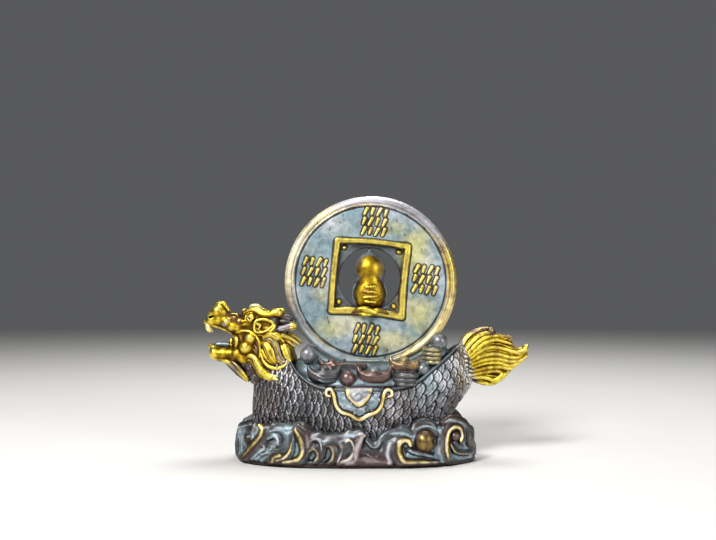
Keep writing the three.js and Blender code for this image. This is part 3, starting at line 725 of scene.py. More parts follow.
# The heights of the hull's foot in the waves, and of its widest plan.
HULL_FOOT, HULL_WIDEST = 5, 27
# Boat-shaped plans: height, left end, right end and half-width.
HULL_PLANS = smooth(
    [
        (5, -45.2, 31.2, 17.6), (12, -47.5, 33, 19), (20, -48.3, 36.5, 20.6), (27, -48.4, 41, 21),
        (32, -48, 44.2, 20.4), (38, -47, 44.6, 18), (46, -46, 42.6, 13.6), (53, -45, 40, 9.6),
    ],
    120,
)
HULL_MIDDLE = -2.0
# The hull's upper edge from the side.
GUNWALE = smooth(
    [
        (-60, 47.4), (-40, 47.4), (-35, 46.4), (-31.4, 41.6), (-28.1, 37.4), (-22, 33.4), (-14, 31.7),
        (0, 31.4), (12, 32.2), (20, 34.4), (28.4, 40.2), (34, 44.4), (38, 47.6), (42, 49), (50, 49),
    ],
    200,
)
# Scales: their length and distance of rows, half their width, thickness, and by place how much
# slimmer and taller they are. They are slim and tall at the neck, and broad at the tail.
SCALE = {"long": 3.7, "high": 3.9, "half": 3.2, "thick": 1.1}
SCALE_PLACES = [-48, -20, 4, 20, 32, 42]
SCALE_SLIM = [0.7, 0.76, 1.05, 1.1, 1.0, 0.8]
SCALE_TALL = [1.22, 1.15, 1.08, 1.05, 0.95, 0.8]
# The raised lip along the gunwale: half its height, and how its skin goes on inwards and down.
LIP = 0.75
LIP_TURN = [(0.9, 0.1), (1.8, 0.9), (2.2, 3), (2.4, 6)]


def hull_plan(z):
    """The hull's left end, right end and half-width at a height."""
    return [np.interp(z, HULL_PLANS[:, 0], HULL_PLANS[:, k]) for k in (1, 2, 3)]


def gunwale(x):
    return np.interp(x, GUNWALE[:, 0], GUNWALE[:, 1])


def hull_half_width(x, z):
    left, right, width = hull_plan(z)
    before = x < HULL_MIDDLE
    s = (x - HULL_MIDDLE) / np.where(before, HULL_MIDDLE - left, right - HULL_MIDDLE)
    return width * np.clip(1 - s * s, 0, 1) ** np.where(before, 0.5, 0.65)


def sweep(x):
    """How far the rows of scales have risen towards the tail and the neck."""
    return 0.012 * np.clip(x - 8, 0, None) ** 2 + 0.02 * np.clip(-25 - x, 0, None) ** 2


def scales(u, v):
    """Height of the overlapping scales, and their lines of painted light and shade: -1 is painted shadow
    under a free edge, and 1 is a painted highlight.
    """
    nearest = np.full(u.shape, 1e9)
    behind = np.full(u.shape, 1e9)
    across = np.zeros(u.shape)
    first = np.floor(v / SCALE["high"])
    for row in (first - 1, first, first + 1, first + 2):
        dv = (v - row * SCALE["high"]) / SCALE["half"]
        covers = np.abs(dv) < 1
        reach = SCALE["long"] * (0.98 * np.sqrt(np.clip(1 - dv * dv, 0, 1)) - 0.5)
        shift = 0.5 * (row % 2)
        column = np.floor((u - reach) / SCALE["long"] - shift)
        q = (column + 1 + shift) * SCALE["long"] + reach - u
        closer = covers & (q < nearest)
        nearest = np.where(closer, q, nearest)
        across = np.where(closer, dv, across)
        behind = np.where(covers, np.minimum(behind, SCALE["long"] - q), behind)
    q = np.minimum(nearest, 2 * SCALE["long"])
    height = SCALE["thick"] * step(0, 0.45, q) * (1 - 0.16 * q)
    height -= 0.16 * across**2
    height += 0.07 * np.cos(across * SCALE["half"] * (1.15 - 0.06 * q) * 6.6) * step(0.5, 1.2, q)
    height -= 0.13 * bump(q - 1.4, 0.3)
    line = bump(q - 0.75, 0.5) + 0.45 * bump(q - 2.0, 0.45) - 0.5 * bump(q - 1.4, 0.3)
    line -= 1.5 * step(0.6, 0.1, behind) + 1.2 * step(0.3, 0.0, q)
    return height, np.clip(line, -1, 1)


def hull_skin():
    """Places and normals of the plain front half, in rows from end to end, and the way along them."""
    rows, columns = HULL_GRID["rows"], HULL_GRID["columns"]
    fine = np.linspace(math.pi, 0, 3000)
    left, right, _ = hull_plan(HULL_WIDEST)
    reach = np.where(fine > math.pi / 2, HULL_MIDDLE - left, right - HULL_MIDDLE)
    fine_x = HULL_MIDDLE + np.cos(fine) * reach
    fine_y = hull_half_width(fine_x, HULL_WIDEST)
    way = np.concatenate([[0], np.cumsum(np.hypot(np.diff(fine_x), np.diff(fine_y)))])
    u = np.linspace(0, way[-1], columns)
    c = np.cos(np.interp(u, way, fine))
    v = np.linspace(0, 1, rows)[:, None]
    x = np.broadcast_to(HULL_MIDDLE + c * HULL_REACH, (rows, columns))
    # A place's x depends on its height, and that on the gunwale over it, so they are found in turns.
    for _ in range(6):
        z = HULL_FOOT + v * (gunwale(x) - HULL_FOOT)
        left, right = hull_plan(z)[:2]
        x = HULL_MIDDLE + c * np.where(c < 0, HULL_MIDDLE - left, right - HULL_MIDDLE)
    base = np.stack([x, -hull_half_width(x, z), z], -1)
    n = normals_of(base)
    n *= np.where(n[..., 1:2] > 0, -1, 1)
    # The two ends are on the middle plane and face along it.
    n[:, 0], n[:, -1] = (-1, 0, 0), (1, 0, 0)
    return base, n, u


def hull_relief(x, z, u):
    """Height of the scales and of the lip, with the scales' lines of painted light and shade and the lip's
    share.
    """
    slim = np.interp(x, SCALE_PLACES, SCALE_SLIM).mean(0)
    tall = np.interp(x, SCALE_PLACES, SCALE_TALL)
    along_hull = np.cumsum(np.gradient(u) / slim)
    astray = 1.0 * noise(x, 0, z, 5, 12), 0.75 * noise(x, 0, z, 6, 13)
    height, line = scales(along_hull + astray[0], (z - sweep(x)) / tall + astray[1])
    height *= 1 + 0.3 * noise(x, 0, z, 5, 14)
    rim = gunwale(x) - z
    lipped = step(-34, -31, x) * step(40, 37, x)
    lip = np.sqrt(np.clip(1 - ((rim - LIP) / LIP) ** 2, 0, 1)) * lipped
    clear = step(1.5, 1.9, rim) * lipped + 1 - lipped
    # A line of painted shade runs just under the lip.
    line = line * clear + (-0.15 * lip - 0.9 * bump(rim - 1.8, 0.35) * lipped)
    return height * clear + lip, line, lip


def hull_marks(x, z, line, lip):
    """Painted highlights on the scales' edges at the neck turn into bluish scales outlined with painted
    shade at the tail.
    """
    drift = noise(x, 0, z, 16, 11)
    patchy = 0.5 + 0.5 * noise(x, 0, z, 3.2, 15)
    # glint is the scales' painted highlight, shown pale and bluish.
    glint = np.clip(line, 0, 1)
    right = step(-12, 12, x + 6 * drift)
    blue = 0.2 * lip + 0.35 * glint + 0.2 + 0.15 * right * (drift + patchy)
    blue += 0.4 * bump(np.hypot((x - 24) / 8, (z - 34) / 8), 1)
    warm = (0.15 + 0.3 * right + 0.25 * noise(x, 0, z, 8, 16)) * (1 - lip)
    golden = step(30, 40, x + 2 * drift) * step(24, 32, z)
    pale = glint * (0.2 + 0.5 * patchy) * (1 - 0.4 * right)
    pale = (pale + (0.12 + 0.36 * right) * patchy + 0.2 * golden) * (1 - lip)
    # Painted shade: in the scales' lines, stronger towards the tail, and over the far end at the neck.
    edge = line - right * 0.5 * step(0.2, -0.6, line) - 0.4 * step(-37, -46, x) * (line < 0.5)
    gold = 0.42 * golden * (0.6 + 0.4 * glint)
    marks = {"gold": gold, "blue": blue, "warm": warm, "pale": pale}
    return {m: np.clip(v, 0, 1) for m, v in marks.items()} | {"edge": np.clip(edge, -1, 1)}


def both_sides(front):
    """Adds the mirrored back half to a grid whose columns run along the front from end to end."""
    back = front[:, -2:0:-1].copy()
    if back.ndim == 3:
        back[..., 1] *= -1
    return np.concatenate([front, back], 1)


def hull(material):
    base, n, u = hull_skin()
    x, z = base[..., 0], base[..., 2]
    relief, line, lip = hull_relief(x, z, u)
    points = base + n * relief[..., None]
    # Behind the lip the skin turns in and down to the heap.
    last = points[-1]
    inward = np.array([0, 1.0, 0]) * np.minimum(1, -last[:, 1:2] / 4)
    turn = [last + inward * a - np.array([0, 0, 1]) * b for a, b in LIP_TURN]
    whole = both_sides(np.concatenate([points, np.stack(turn)]))
    flat = whole.reshape(-1, 3)
    groups = facing_out(flat, [grid_faces(*whole.shape[:2], closed=True)])
    marks = {}
    for mark, values in hull_marks(x, z, line, lip).items():
        # The skin that turns in behind the lip is bluish, with painted shade.
        behind = np.full((len(turn), len(u)), {"blue": 0.3, "edge": -0.3}.get(mark, 0))
        marks[mark] = both_sides(np.concatenate([values, behind])).ravel()
    piece("hull", flat, groups, marks, material)


# The cartouche on each side of the hull, as a cloth hung over it.

# The grid over it: its two corners and the distance between points.
EMBLEM_GRID = {"from": (-18.2, 17.6), "to": (11.2, 32.6), "gap": 0.21}
# The line of the beaded border with its two curls, and the bead's half-width along it.
EMBLEM_EDGE = [
    (-15.2, 28.6), (-16.7, 29.2), (-16.6, 30.9), (-14.9, 31.3), (-13.7, 29), (-12.9, 25.1), (-10.8, 22.4),
    (-7.2, 21.2), (-3.4, 19.2), (0.2, 21.0), (3.6, 22.3), (5.6, 25.1), (6.4, 28.8), (7.6, 31),
    (9.4, 30.8), (9.8, 29), (8.4, 28.4),
]
EMBLEM_BEAD = [0.75, 0.95, 1.0, 1.0, 1.15, 1.0, 1.0, 0.95, 0.75]
# The panel is inside the border between its curls, and inside the strip above that.
PANEL = slice(3, 14)
PANEL_TOP = np.array([(-13.6, 29), (-14.9, 31.6), (8, 31.6), (6.4, 28.8)])
# The cloud in the middle, and the swirls on it.
CLOUD = [
    (-9.2, 31.8), (-8.6, 28.2), (-6.6, 26.2), (-4.3, 24.2), (-1.9, 24.8), (0.2, 26.8), (1.8, 29.6),
    (2.2, 31.8),
]
SWIRLS = [
    [(-6.9, 28.9), (-6, 27.4), (-4.2, 26.6), (-2.6, 27.4), (-2.6, 29), (-4, 29.4), (-4.6, 28.6)],
    [(1.6, 29.7), (0, 30.3), (-1.7, 29.8)],
]


def emblem_face(x, z):
    """Height over the hull and marks."""
    edge, at = from_line(x, z, EMBLEM_EDGE)
    panel = inside(x, z, smooth(EMBLEM_EDGE[PANEL])) | inside(x, z, PANEL_TOP)
    half = along(EMBLEM_BEAD, at)
    bead = np.sqrt(np.clip(1 - (edge / half) ** 2, 0, 1))
    beaded = bead > 0
    cloud_edge, _ = from_line(x, z, CLOUD)
    cloud = inside(x, z, smooth(CLOUD))
    swirl = np.min([from_line(x, z, s)[0] for s in SWIRLS], 0)
    stipple = noise(x, 0, z, 0.9, 21)

    raised = 0.75 + 0.14 * stipple + 0.75 * cloud * step(0, 0.5, cloud_edge)
    raised -= 0.6 * bump(swirl, 0.4) * cloud
    # Outside the border the cloth's edge dips under the scales.
    height = np.where(panel, raised, 0.5 - 2.2 * step(half + 0.1, half + 0.9, edge))
    height = np.maximum(height, np.where(beaded, 0.9 + 0.95 * bead, -3))

    # The cloud is gilded along its edge, and the ground is blue with pale flecks.
    ground = panel & ~cloud & ~beaded
    gilded = (0.85 - 0.6 * step(0.9, 2.0, cloud_edge)) * (1 - bump(swirl, 0.35))
    gold = np.maximum(0.9 * bead**0.5, (cloud & panel) * gilded)
    blue = np.where(panel & ~beaded, np.where(cloud, 0.6, 1.0), 0.1)
    flecks = 0.6 * step(-0.1, 0.8, noise(x, 0, z, 0.7, 22))
    # A pale painted highlight on the bead's crown.
    bead_highlight = (0.7 + 0.3 * noise(x, 0, z, 2, 23)) * bead**2
    pale = np.maximum(bead_highlight, np.where(ground, flecks, 0.55 * cloud))
    # Painted shade beside the bead and on its sides, round the cloud, in its swirls and in the stipple's
    # low spots, and painted highlights on the bead's crown and inside the cloud.
    outlines = bump(cloud_edge, 0.3) * ~(cloud & (cloud_edge > 0.4)) + bump(swirl, 0.3) * cloud
    dark = bump(edge - half - 0.2, 0.35) + panel * outlines + 0.3 * ground * step(0.2, -0.8, stipple)
    light = 1.3 * bead**4 - 0.6 * beaded + 0.5 * (cloud & panel & (cloud_edge > 0.3))
    marks = {"gold": np.clip(gold, 0, 1), "blue": blue, "pale": pale, "edge": np.clip(light - dark, -1, 1)}
    return height, marks


def emblems(material):
    low, high, gap = EMBLEM_GRID["from"], EMBLEM_GRID["to"], EMBLEM_GRID["gap"]
    x, z = np.meshgrid(np.arange(low[0], high[0], gap), np.arange(low[1], high[1], gap))
    height, marks = emblem_face(x, z)
    for name, side in (("emblem_front", -1), ("emblem_back", 1)):
        points = np.stack([x, side * (hull_half_width(x, z) + height), z], -1).reshape(-1, 3)
        faces = grid_faces(*x.shape)[:, ::-side]
        piece(name, points, [faces], {m: v.ravel() for m, v in marks.items()}, material)


# The coin, which stands upright and is turned a little towards the tail.

COIN = {"x": 1.5, "z": 75.6, "radius": 36.9, "turn": math.radians(5.2)}
# Heights over the middle plane: the field, and the plate that is sunk inside the frame.
FIELD = 2.1
PLATE = 1.0
# The square frame's middle, half its width, its bars' width and height, and its corners' radius.
WINDOW = {"at": (-0.5, 1.1), "half": 16.6, "bar": 2.7, "proud": 1.5, "corner": 1.4}
# The bars' tones, whose edge gives them a painted highlight.
BAR_TONES = {"gold": 1.0, "pale": 0.22, "blue": 0.0, "edge": 0.8}
PLATE_TONES = {"gold": 0.05, "pale": 0.1, "blue": 0.45, "warm": 0.35}
# The radius of the hole in the plate.
HOLE = 13.3
# The studs in the frame's corners: their distance from its middle each way, radius and height.
STUD = {"at": 11.9, "radius": 0.95, "proud": 0.9}
# The radius of the thin line inside the rim.
RING = 33.2
# Tones along the rim, as stretches with a middle and a width in degrees, and a strength.
RIM_TONES = {
    "gold": [(-36, 36, 0.95), (128, 18, 0.5), (20, 14, 0.3), (168, 36, 0.5)],
    "pale": [(158, 44, 0.95), (92, 34, 0.8), (40, 24, 0.5), (-36, 34, 0.75), (-110, 40, 0.45)],
    "warm": [(180, 34, 0.75), (60, 30, 0.5), (10, 16, 0.4)],
    "blue": [(-112, 40, 0.9), (60, 40, 0.2)],
    "green": [(-80, 50, 0.3)],
}
# The groups of strokes: their middles about the coin's centre.
STROKE_GROUPS = [(-0.6, 25.6), (23.6, 2.6), (-24.6, 1.6), (0.2, -25.4)]
# One group: place, length and tilt of each stroke.
STROKES = [
    ((-4.2, 4.3), 3.2, 1.2), ((-1.3, 4.5), 2.6, 1.35), ((1.6, 4.4), 3.4, 1.15), ((4.5, 4.2), 2.6, 1.3),
    ((-4.6, 0.1), 2.6, 1.3), ((-1.8, 0), 3.4, 1.15), ((1.2, 0.2), 2.6, 1.3), ((4.2, 0), 3.2, 1.2),
    ((-4.4, -4.2), 3.2, 1.2), ((-1.5, -4.1), 2.6, 1.3), ((1.4, -4.3), 3.0, 1.15), ((4.3, -4.2), 3.2, 1.3),
]
STROKE = {"half": 0.66, "proud": 1.0}
# Yellow-green bloom on the blue face: place, radii and strength.
BLOOM = [
    ((21, 88), (7, 11), 0.9), ((12, 99), (8, 4), 0.6), ((27, 76), (4, 8), 0.6),
    ((-19.4, 69.6), (5, 6), 0.6), ((-11, 57), (10, 6), 0.75), ((11, 50.5), (9, 6), 0.9),
    ((22, 62), (8, 8), 0.85), ((-12, 98), (10, 7), 0.35), ((-24, 90), (6, 8), 0.3),
]


class CoinFace:
    """Heights over the middle plane and marks of one face, at places round the coin's centre."""

    def __init__(self, r, angle):
        self.r, self.angle = r, angle
        x, z = r * np.cos(angle), r * np.sin(angle)
        self.a, self.b = turned(x, z, -COIN["turn"])
        self.x, self.z = x + COIN["x"], z + COIN["z"]
        self.worn = noise(self.x, 3, self.z, 9, 31)
        self.field()
        self.rim()
        self.frame()
        self.strokes()
        # Painted shade darkens the face towards the hole.
        self.marks["edge"] = np.clip(self.marks["edge"] - 0.8 * step(HOLE + 0.7, HOLE, r), -1, 1)

    def paint(self, where, tones):
        for mark, value in tones.items():
            self.marks[mark] = np.where(where, value, self.marks[mark])

    def field(self):
        """The worn blue face, with bloom, a copper stain and dark specks."""
        x, z = self.x, self.z
        self.height = FIELD + 0.1 * noise(x, 0, z, 6, 32) + 0.05 * noise(x, 0, z, 1.6, 33) * (self.r < RING)
        green = np.zeros(self.r.shape)
        ragged = 0.3 * noise(x, 2, z, 5, 35)
        for (cx, cz), (rx, rz), strength in BLOOM:
            far = np.hypot((x - cx) / rx, (z - cz) / rz) + ragged
            green = np.maximum(green, 0.9 * strength * step(1.7, 0.1, far))
        stain = 0.6 * bump(np.hypot((x - 10) / 4, (z - 48.6) / 2.4), 1)
        specks = step(0.75, 1.2, noise(x, 0, z, 0.7, 38)) * step(-0.2, 0.7, noise(x, 0, z, 12, 39))
        self.marks = {
            "gold": 0.25 * step(0.6, 1.0, green),
            "blue": (0.95 + 0.1 * self.worn) * (1 - 0.35 * green),
            "warm": stain + 0.3 * step(0.5, 1.2, noise(x, 6, z, 8, 42)),
            "green": green,
            "pale": 0.3 + 0.22 * noise(x, 5, z, 7, 40),
            "edge": 0.25 * noise(x, 1, z, 2.4, 34) - 0.45 * specks,
        }

    def rim(self):
        """The rim, whose tones change along it, with a thin gold line inside it and painted shade on both
        sides of that line.
        """
        r, angle, marks = self.r, self.angle, self.marks
        up = step(RING + 0.5, RING + 1.5, r) * step(1.08, 0.95, r / COIN["radius"])
        self.height += 1.05 * up - 0.7 * step(35.6, COIN["radius"], r)
        self.height += 0.3 * bump(r - RING, 0.45) - 0.3 * bump(r - RING + 0.7, 0.4)
        self.height += 0.12 * noise(np.cos(angle) * 30, 0, np.sin(angle) * 30, 5, 36) * up
        turn = np.degrees(angle)
        # The rim counts as proud, so it takes some painted highlight and no painted shade.
        tones = {"edge": marks["edge"] + 0.5}
        for mark, stretches in RIM_TONES.items():
            tones[mark] = sum(s * bump((turn - middle + 180) % 360 - 180, w) for middle, w, s in stretches)
        tones["pale"] = np.clip(tones["pale"] * (1 + 0.3 * self.worn), 0, 1)
        tones["gold"] = np.clip(tones["gold"] + 0.15 * self.worn + 0.1, 0, 1)
        tones["warm"] = np.clip(tones["warm"], 0, 1)
        tones["blue"] = np.clip(tones["blue"] + 0.15, 0, 1)
        self.paint(r > RING + 0.4, tones)
        line = bump(r - RING, 0.28) * (0.5 + 0.5 * step(-0.4, 0.4, self.worn))
        marks["gold"] = np.maximum(marks["gold"], 0.95 * line)
        # Painted shade on both sides of the gold line.
        marks["edge"] -= 1.1 * bump(r - RING + 0.75, 0.4) + 0.7 * bump(r - RING - 0.75, 0.3)

    def frame(self):
        """The square frame, with the sunk plate and the studs inside it. The bars and studs carry a painted
        highlight, with painted shade round them.
        """
        marks = self.marks
        a, b = self.a - WINDOW["at"][0], self.b - WINDOW["at"][1]
        fa, fb = (np.abs(v) - WINDOW["half"] + WINDOW["corner"] for v in (a, b))
        past = np.hypot(np.clip(fa, 0, None), np.clip(fb, 0, None))
        out = past + np.clip(np.maximum(fa, fb), None, 0) - WINDOW["corner"]
        q = -out / WINDOW["bar"]
        wobble = 0.025 * noise(self.x, 4, self.z, 6, 37)
        bar = np.clip(1 - (2 * (q + wobble) - 1) ** 4, 0, 1) * (q > 0) * (q < 1)
        sunk = q >= 1
        self.height = np.where(sunk, PLATE, self.height + WINDOW["proud"] * np.sqrt(bar))
        self.paint(bar > 0.02, BAR_TONES)
        self.paint(sunk, PLATE_TONES)
        marks["edge"] -= 1.2 * bump(out - 0.2, 0.4) * (out > 0) + 0.8 * bump(q - 1.08, 0.12) * sunk
        for way_a in (-1, 1):
            for way_b in (-1, 1):
                far = np.hypot(a - way_a * STUD["at"], b - way_b * STUD["at"])
                knob = np.sqrt(np.clip(1 - (far / STUD["radius"]) ** 2, 0, 1))
                self.height += STUD["proud"] * knob
                marks["gold"] = np.maximum(marks["gold"], 0.9 * (knob > 0))
                marks["edge"] -= bump(far - STUD["radius"] - 0.25, 0.3) * sunk
                self.paint(knob > 0.3, {"edge": 0.7})

    def strokes(self):
        """Four groups of short raised strokes with a painted highlight, outlined with painted shade."""
        marks = self.marks
        places = [(ga + pa, gb + pb, *stroke) for ga, gb in STROKE_GROUPS for (pa, pb), *stroke in STROKES]
        for pa, pb, length, tilt in places:
            lengthwise, crosswise = turned(self.a - pa, self.b - pb, tilt)
            over = np.clip(np.abs(lengthwise) - length / 2, 0, None)
            half = STROKE["half"] * (1 + 0.3 * lengthwise / length)
            far = np.hypot(over, crosswise) / half
            top = np.sqrt(np.clip(1 - far**4, 0, 1))
            on = top > 0
            raised = np.maximum(self.height, FIELD + STROKE["proud"] * top)
            self.height = np.where(on, raised, self.height)
            outline = bump(np.clip((far - 1) * half, 0, None) - 0.15, 0.4) * (far < 2.2)
            marks["edge"] = np.where(on, 0.7, marks["edge"] - 1.1 * outline)
            marks["gold"] = np.maximum(marks["gold"], on * (0.85 + 0.15 * top))
            marks["pale"] = np.maximum(marks["pale"], 0.3 * on)
            self.paint(on, {"blue": 0, "green": 0})


# The coin's edge: how far towards the middle plane each of its rings is, and how much it bulges.
EDGE_RINGS = (0.72, 0.36, 0.0, -0.05)
EDGE_BULGE = 0.011


def coin_half(name, side, columns, gap, material):
    """One half of the coin, a grid round it from the wall of the hole to the outer edge."""
    angle = np.linspace(-math.pi, math.pi, columns, endpoint=False)[None, :]
    r = np.linspace(HOLE, COIN["radius"], round((COIN["radius"] - HOLE) / gap))[:, None]
    face = CoinFace(*np.broadcast_arrays(r, angle))
    uneven = r + 0.28 * noise(np.cos(angle) * 37, 0, np.sin(angle) * 37, 15, 41) * step(30, 36, r)
    # Near the hole the rings are round the frame's middle instead of the coin's.
    share = step(22, HOLE, r)
    x = COIN["x"] + np.cos(angle) * uneven + share * (WINDOW["at"][0] + 0.1)
    z = COIN["z"] + np.sin(angle) * uneven + share * WINDOW["at"][1]
    points = np.stack([x, side * face.height, z], -1)
    # Both walls go to just past the middle plane.
    hole = [points[0] * (1, k, 1) for k in (-0.1, 0.5)]
    outwards = (points[-1] - (COIN["x"], 0, COIN["z"])) * (1, 0, 1)
    rim = [points[-1] * (1, k, 1) + outwards * EDGE_BULGE * (1 - k * k) for k in EDGE_RINGS]
    points = np.concatenate([np.stack(hole), points, np.stack(rim)])
    # The hole's wall is brownish with painted shade, and the outer one has the marks of the face just
    # inside its edge.
    marks = {}
    for mark, values in face.marks.items():
        wall = np.full((len(hole), columns), {"edge": -0.6, "warm": 0.3}.get(mark, 0))
        outer = np.broadcast_to(values[-6], (len(rim), columns))
        marks[mark] = np.concatenate([wall, values, outer]).ravel()
    faces = grid_faces(*points.shape[:2], closed=True)[:, ::side]
    piece(name, points.reshape(-1, 3), [faces], marks, material)


# The gourd in the hole.

# The leaves of its foot: points, with the distance from the middle plane second, and radii.
GOURD_LEAVES = [
    ([(-6.4, 3.4, 61.8), (-3.6, 4.4, 63.4), (0.0, 4.8, 63.3), (3.6, 4.6, 61.8)], (0.6, 1.3, 1.5, 0.7)),
    ([(1.6, 4.2, 62.7), (4.4, 4.4, 63.1), (7.2, 4.0, 62.5), (9.2, 3.4, 61.4)], (0.6, 1.0, 1.0, 0.5)),
    ([(-3.8, 4.2, 61.8), (-0.8, 4.6, 61.1), (2.2, 4.2, 61.4)], (0.6, 0.9, 0.6)),
]
# Its upright middle line, the distance between its grid's points, and the grid's box.
GOURD = {"x": 1.1, "grid": 0.28, "box": ((-9, -7, 59.5), (12, 0, 91))}
# Its two bulbs: middle and radii.
LOWER_BULB = (GOURD["x"] + 0.1, 0, 70.0), (6.9, 5.4, 7.2)
UPPER_BULB = (GOURD["x"], 0, 80.6), (4.9, 4.3, 5.4)
# The thin plate that shows round them: middle, radii and fillet.
GOURD_PLATE = [((GOURD["x"], 0, 70.0), (7.9, 1.3, 8.2), 0.4), ((GOURD["x"], 0, 81.4), (6.0, 1.2, 6.2), 1.5)]
# Heights and the half-widths of the outline there.
GOURD_WIDTHS = [64, 70, 76, 81, 87], [5.5, 7, 4.2, 5, 1.5]
# The rows of strokes on the lower bulb: height and half-length.
GOURD_ROWS = [(73.2, 2.2), (71, 2.9), (68.8, 3.1), (66.6, 2.3)]


def gourd_strokes(clay, x):
    """Rows of shallow strokes on the lower bulb."""
    (_, _, middle), (wide, deep, high) = LOWER_BULB
    for row, (z, reach) in enumerate(GOURD_ROWS):
        for way in (-1, 1):
            inner, outer = x + way * 0.5 + 0.3 * (row % 2), x + way * reach + 0.3
            ends = []
            for px, rise in ((inner, 0), (outer, 0.3 * way * (-1) ** row)):
                # How deep the bulb is at the row's height.
                depth = deep * math.sqrt(max(0, 1 - ((px - x) / wide) ** 2 - ((z - middle) / high) ** 2))
                ends.append((px, depth + 0.1, z + rise))
            clay.strand(front(ends), (0.5, 0.4), 0.15, 1.0, GOLD)


def gourd(material):
    x = GOURD["x"]
    clay = Clay(*GOURD["box"], GOURD["grid"], flatter=0)
    for middle, radii, soft in GOURD_PLATE:
        clay.ball(middle, radii, soft, GREY)
    clay.strand([(x, 0, 86), (x + 0.1, 0, 90.2)], (1.5, 0.5), 1.0, 1.5, GREY)
    clay.ball(*LOWER_BULB, 0.5, GOLD)
    clay.ball(*UPPER_BULB, 5.0, GOLD)
    clay.strand([(x, 0, 85), (x, 0, 87.6)], (1.4, 0.5), 1.6, 1.0, GOLD)
    clay.ball((x, 0, 62.6), (7.6, 4.2, 1.8), 0.8, DARK)
    # A leafy foot laps over the frame.
    for leaf, radii in GOURD_LEAVES:
        clay.strand(front(leaf), radii, 0.5, 1.2, GOLD)
    gourd_strokes(clay, x)

    def paint(points, marks):
        """The gold is browner, and darkened with painted shade, towards the outline."""
        half_width = np.interp(points[:, 2], *GOURD_WIDTHS)
        aside = np.abs(points[:, 0] - x) / half_width
        marks["gold"] *= 0.8 - 0.34 * step(0.4, 0.95, aside)
        marks["warm"] = np.maximum(marks["warm"], 0.4)
        marks["green"] = 0.25 * (marks["gold"] > 0.2)
        marks["edge"] = np.minimum(marks["edge"], 0.75 - 0.8 * step(0.3, 1, aside))

    clay.finish("gourd", material, TONES, paint)


# The heap of treasure on each side of the coin.


def ingot(clay, place, size, tone, cap=None):
    """A boat-shaped ingot with turned-up ends and a dome between them."""
    x, y, z = place[0], -place[1], place[2]

    def at(*places):
        return [(x + dx * size, y + dy * size, z + dz * size) for dx, dy, dz in places]

    def sized(*radii):
        return tuple(radius * size for radius in radii)

    clay.ball(*at((0, 0, -0.2)), sized(6.2, 3.6, 3.4), 0.5, tone)
    for way in (-1, 1):
        horn = at((3 * way, 0, -1), (5.2 * way, 0, 0.8), (6.4 * way, 0, 3.3))
        clay.strand(horn, sized(2.2, 1.7, 0.8), 1.0, 0.8, tone)
    clay.ball(*at((0, 0, 4.1)), sized(5.3, 3.0, 3.3), 0.4, None, cut=True)
    lip = at((-6.3, -0.6, 3), (-4.6, -2.3, 1.2), (0, -3.2, 0.2), (4.6, -2.3, 1.2), (6.3, -0.6, 3))
    clay.strand(lip, (0.45, 0.45), 0.3, 1.0, tone)
    clay.ball(*at((0, -0.2, 1.2)), sized(2.7, 2.6, 2.9), 0.3, tone if cap is None else cap)


def stack(clay, place, radius, count, tone):
    """A stack of coins that don't lie quite straight, with the gaps between them painted dark as shade."""
    x, y, z = place[0], -place[1], place[2]
    for k in range(count):
        shift = 0.25 * math.sin(2.3 * k + x)
        clay.disc((x + shift, y, z + 1.75 * k), radius, 0.72, 0.35, tone)
        clay.disc((x, y, z + 1.75 * k + 0.87), radius - 0.7, 0.4, 0.1, DARK)


# The heap is darker than the rest: dark pewter, copper and bluish pearls.
TREASURE_TONES = [*TONES]
TREASURE_TONES[GREY] = {"blue": 0.3, "warm": 0.3}
TREASURE_TONES[COPPER] = {"warm": 0.7, "gold": 0.16}
TREASURE_TONES[BLUE] = {"blue": 0.55}
TREASURE_TONES[PALE] = {"blue": 0.4, "pale": 0.35}
TREASURE_TONES[GOLD] = {"gold": 0.3, "warm": 0.75, "green": 0.12}
TREASURE_TONES[HORN] = {"gold": 0.34, "green": 0.3, "blue": 0.4}


# The bed of the heap: middle, radii and fillet of its mounds.
MOUNDS = [
    ((-1, 0, 32), (33, 18.6, 7.6), 1.5), ((-24, 0, 37), (8.6, 12.5, 6.4), 2),
    ((27, 0, 37), (8.6, 10.4, 7.2), 2),
]
# The rim of the cradle that holds the coin's foot, with the distance from the middle plane second.
CRADLE = [
    (-25, 3.6, 47), (-18, 4.6, 42.4), (-8, 5.6, 40), (4, 5.8, 39.4), (14, 5.2, 40.6), (22, 4.2, 43.6),
    (28, 3, 48),
]
# The bed's floor with its fillet and its edges' radius, and a mound at its end towards the tail.
BED = (0, 0, 37.4), (31, 7.4, 3.8), 3, 2.5
END_MOUND = (31.4, 0, 44), (4.4, 5, 4), 2


def pearl(clay, place, radius, tone):
    clay.ball(*front([place]), radius, 0.3, tone)


def block(clay, place, half, tone):
    clay.box(*front([place]), half, 0.3, 0.7, tone)


def thin_line(clay, points, tone):
    clay.strand(front(points), (0.4, 0.5, 0.4), 0.2, 1.0, tone)


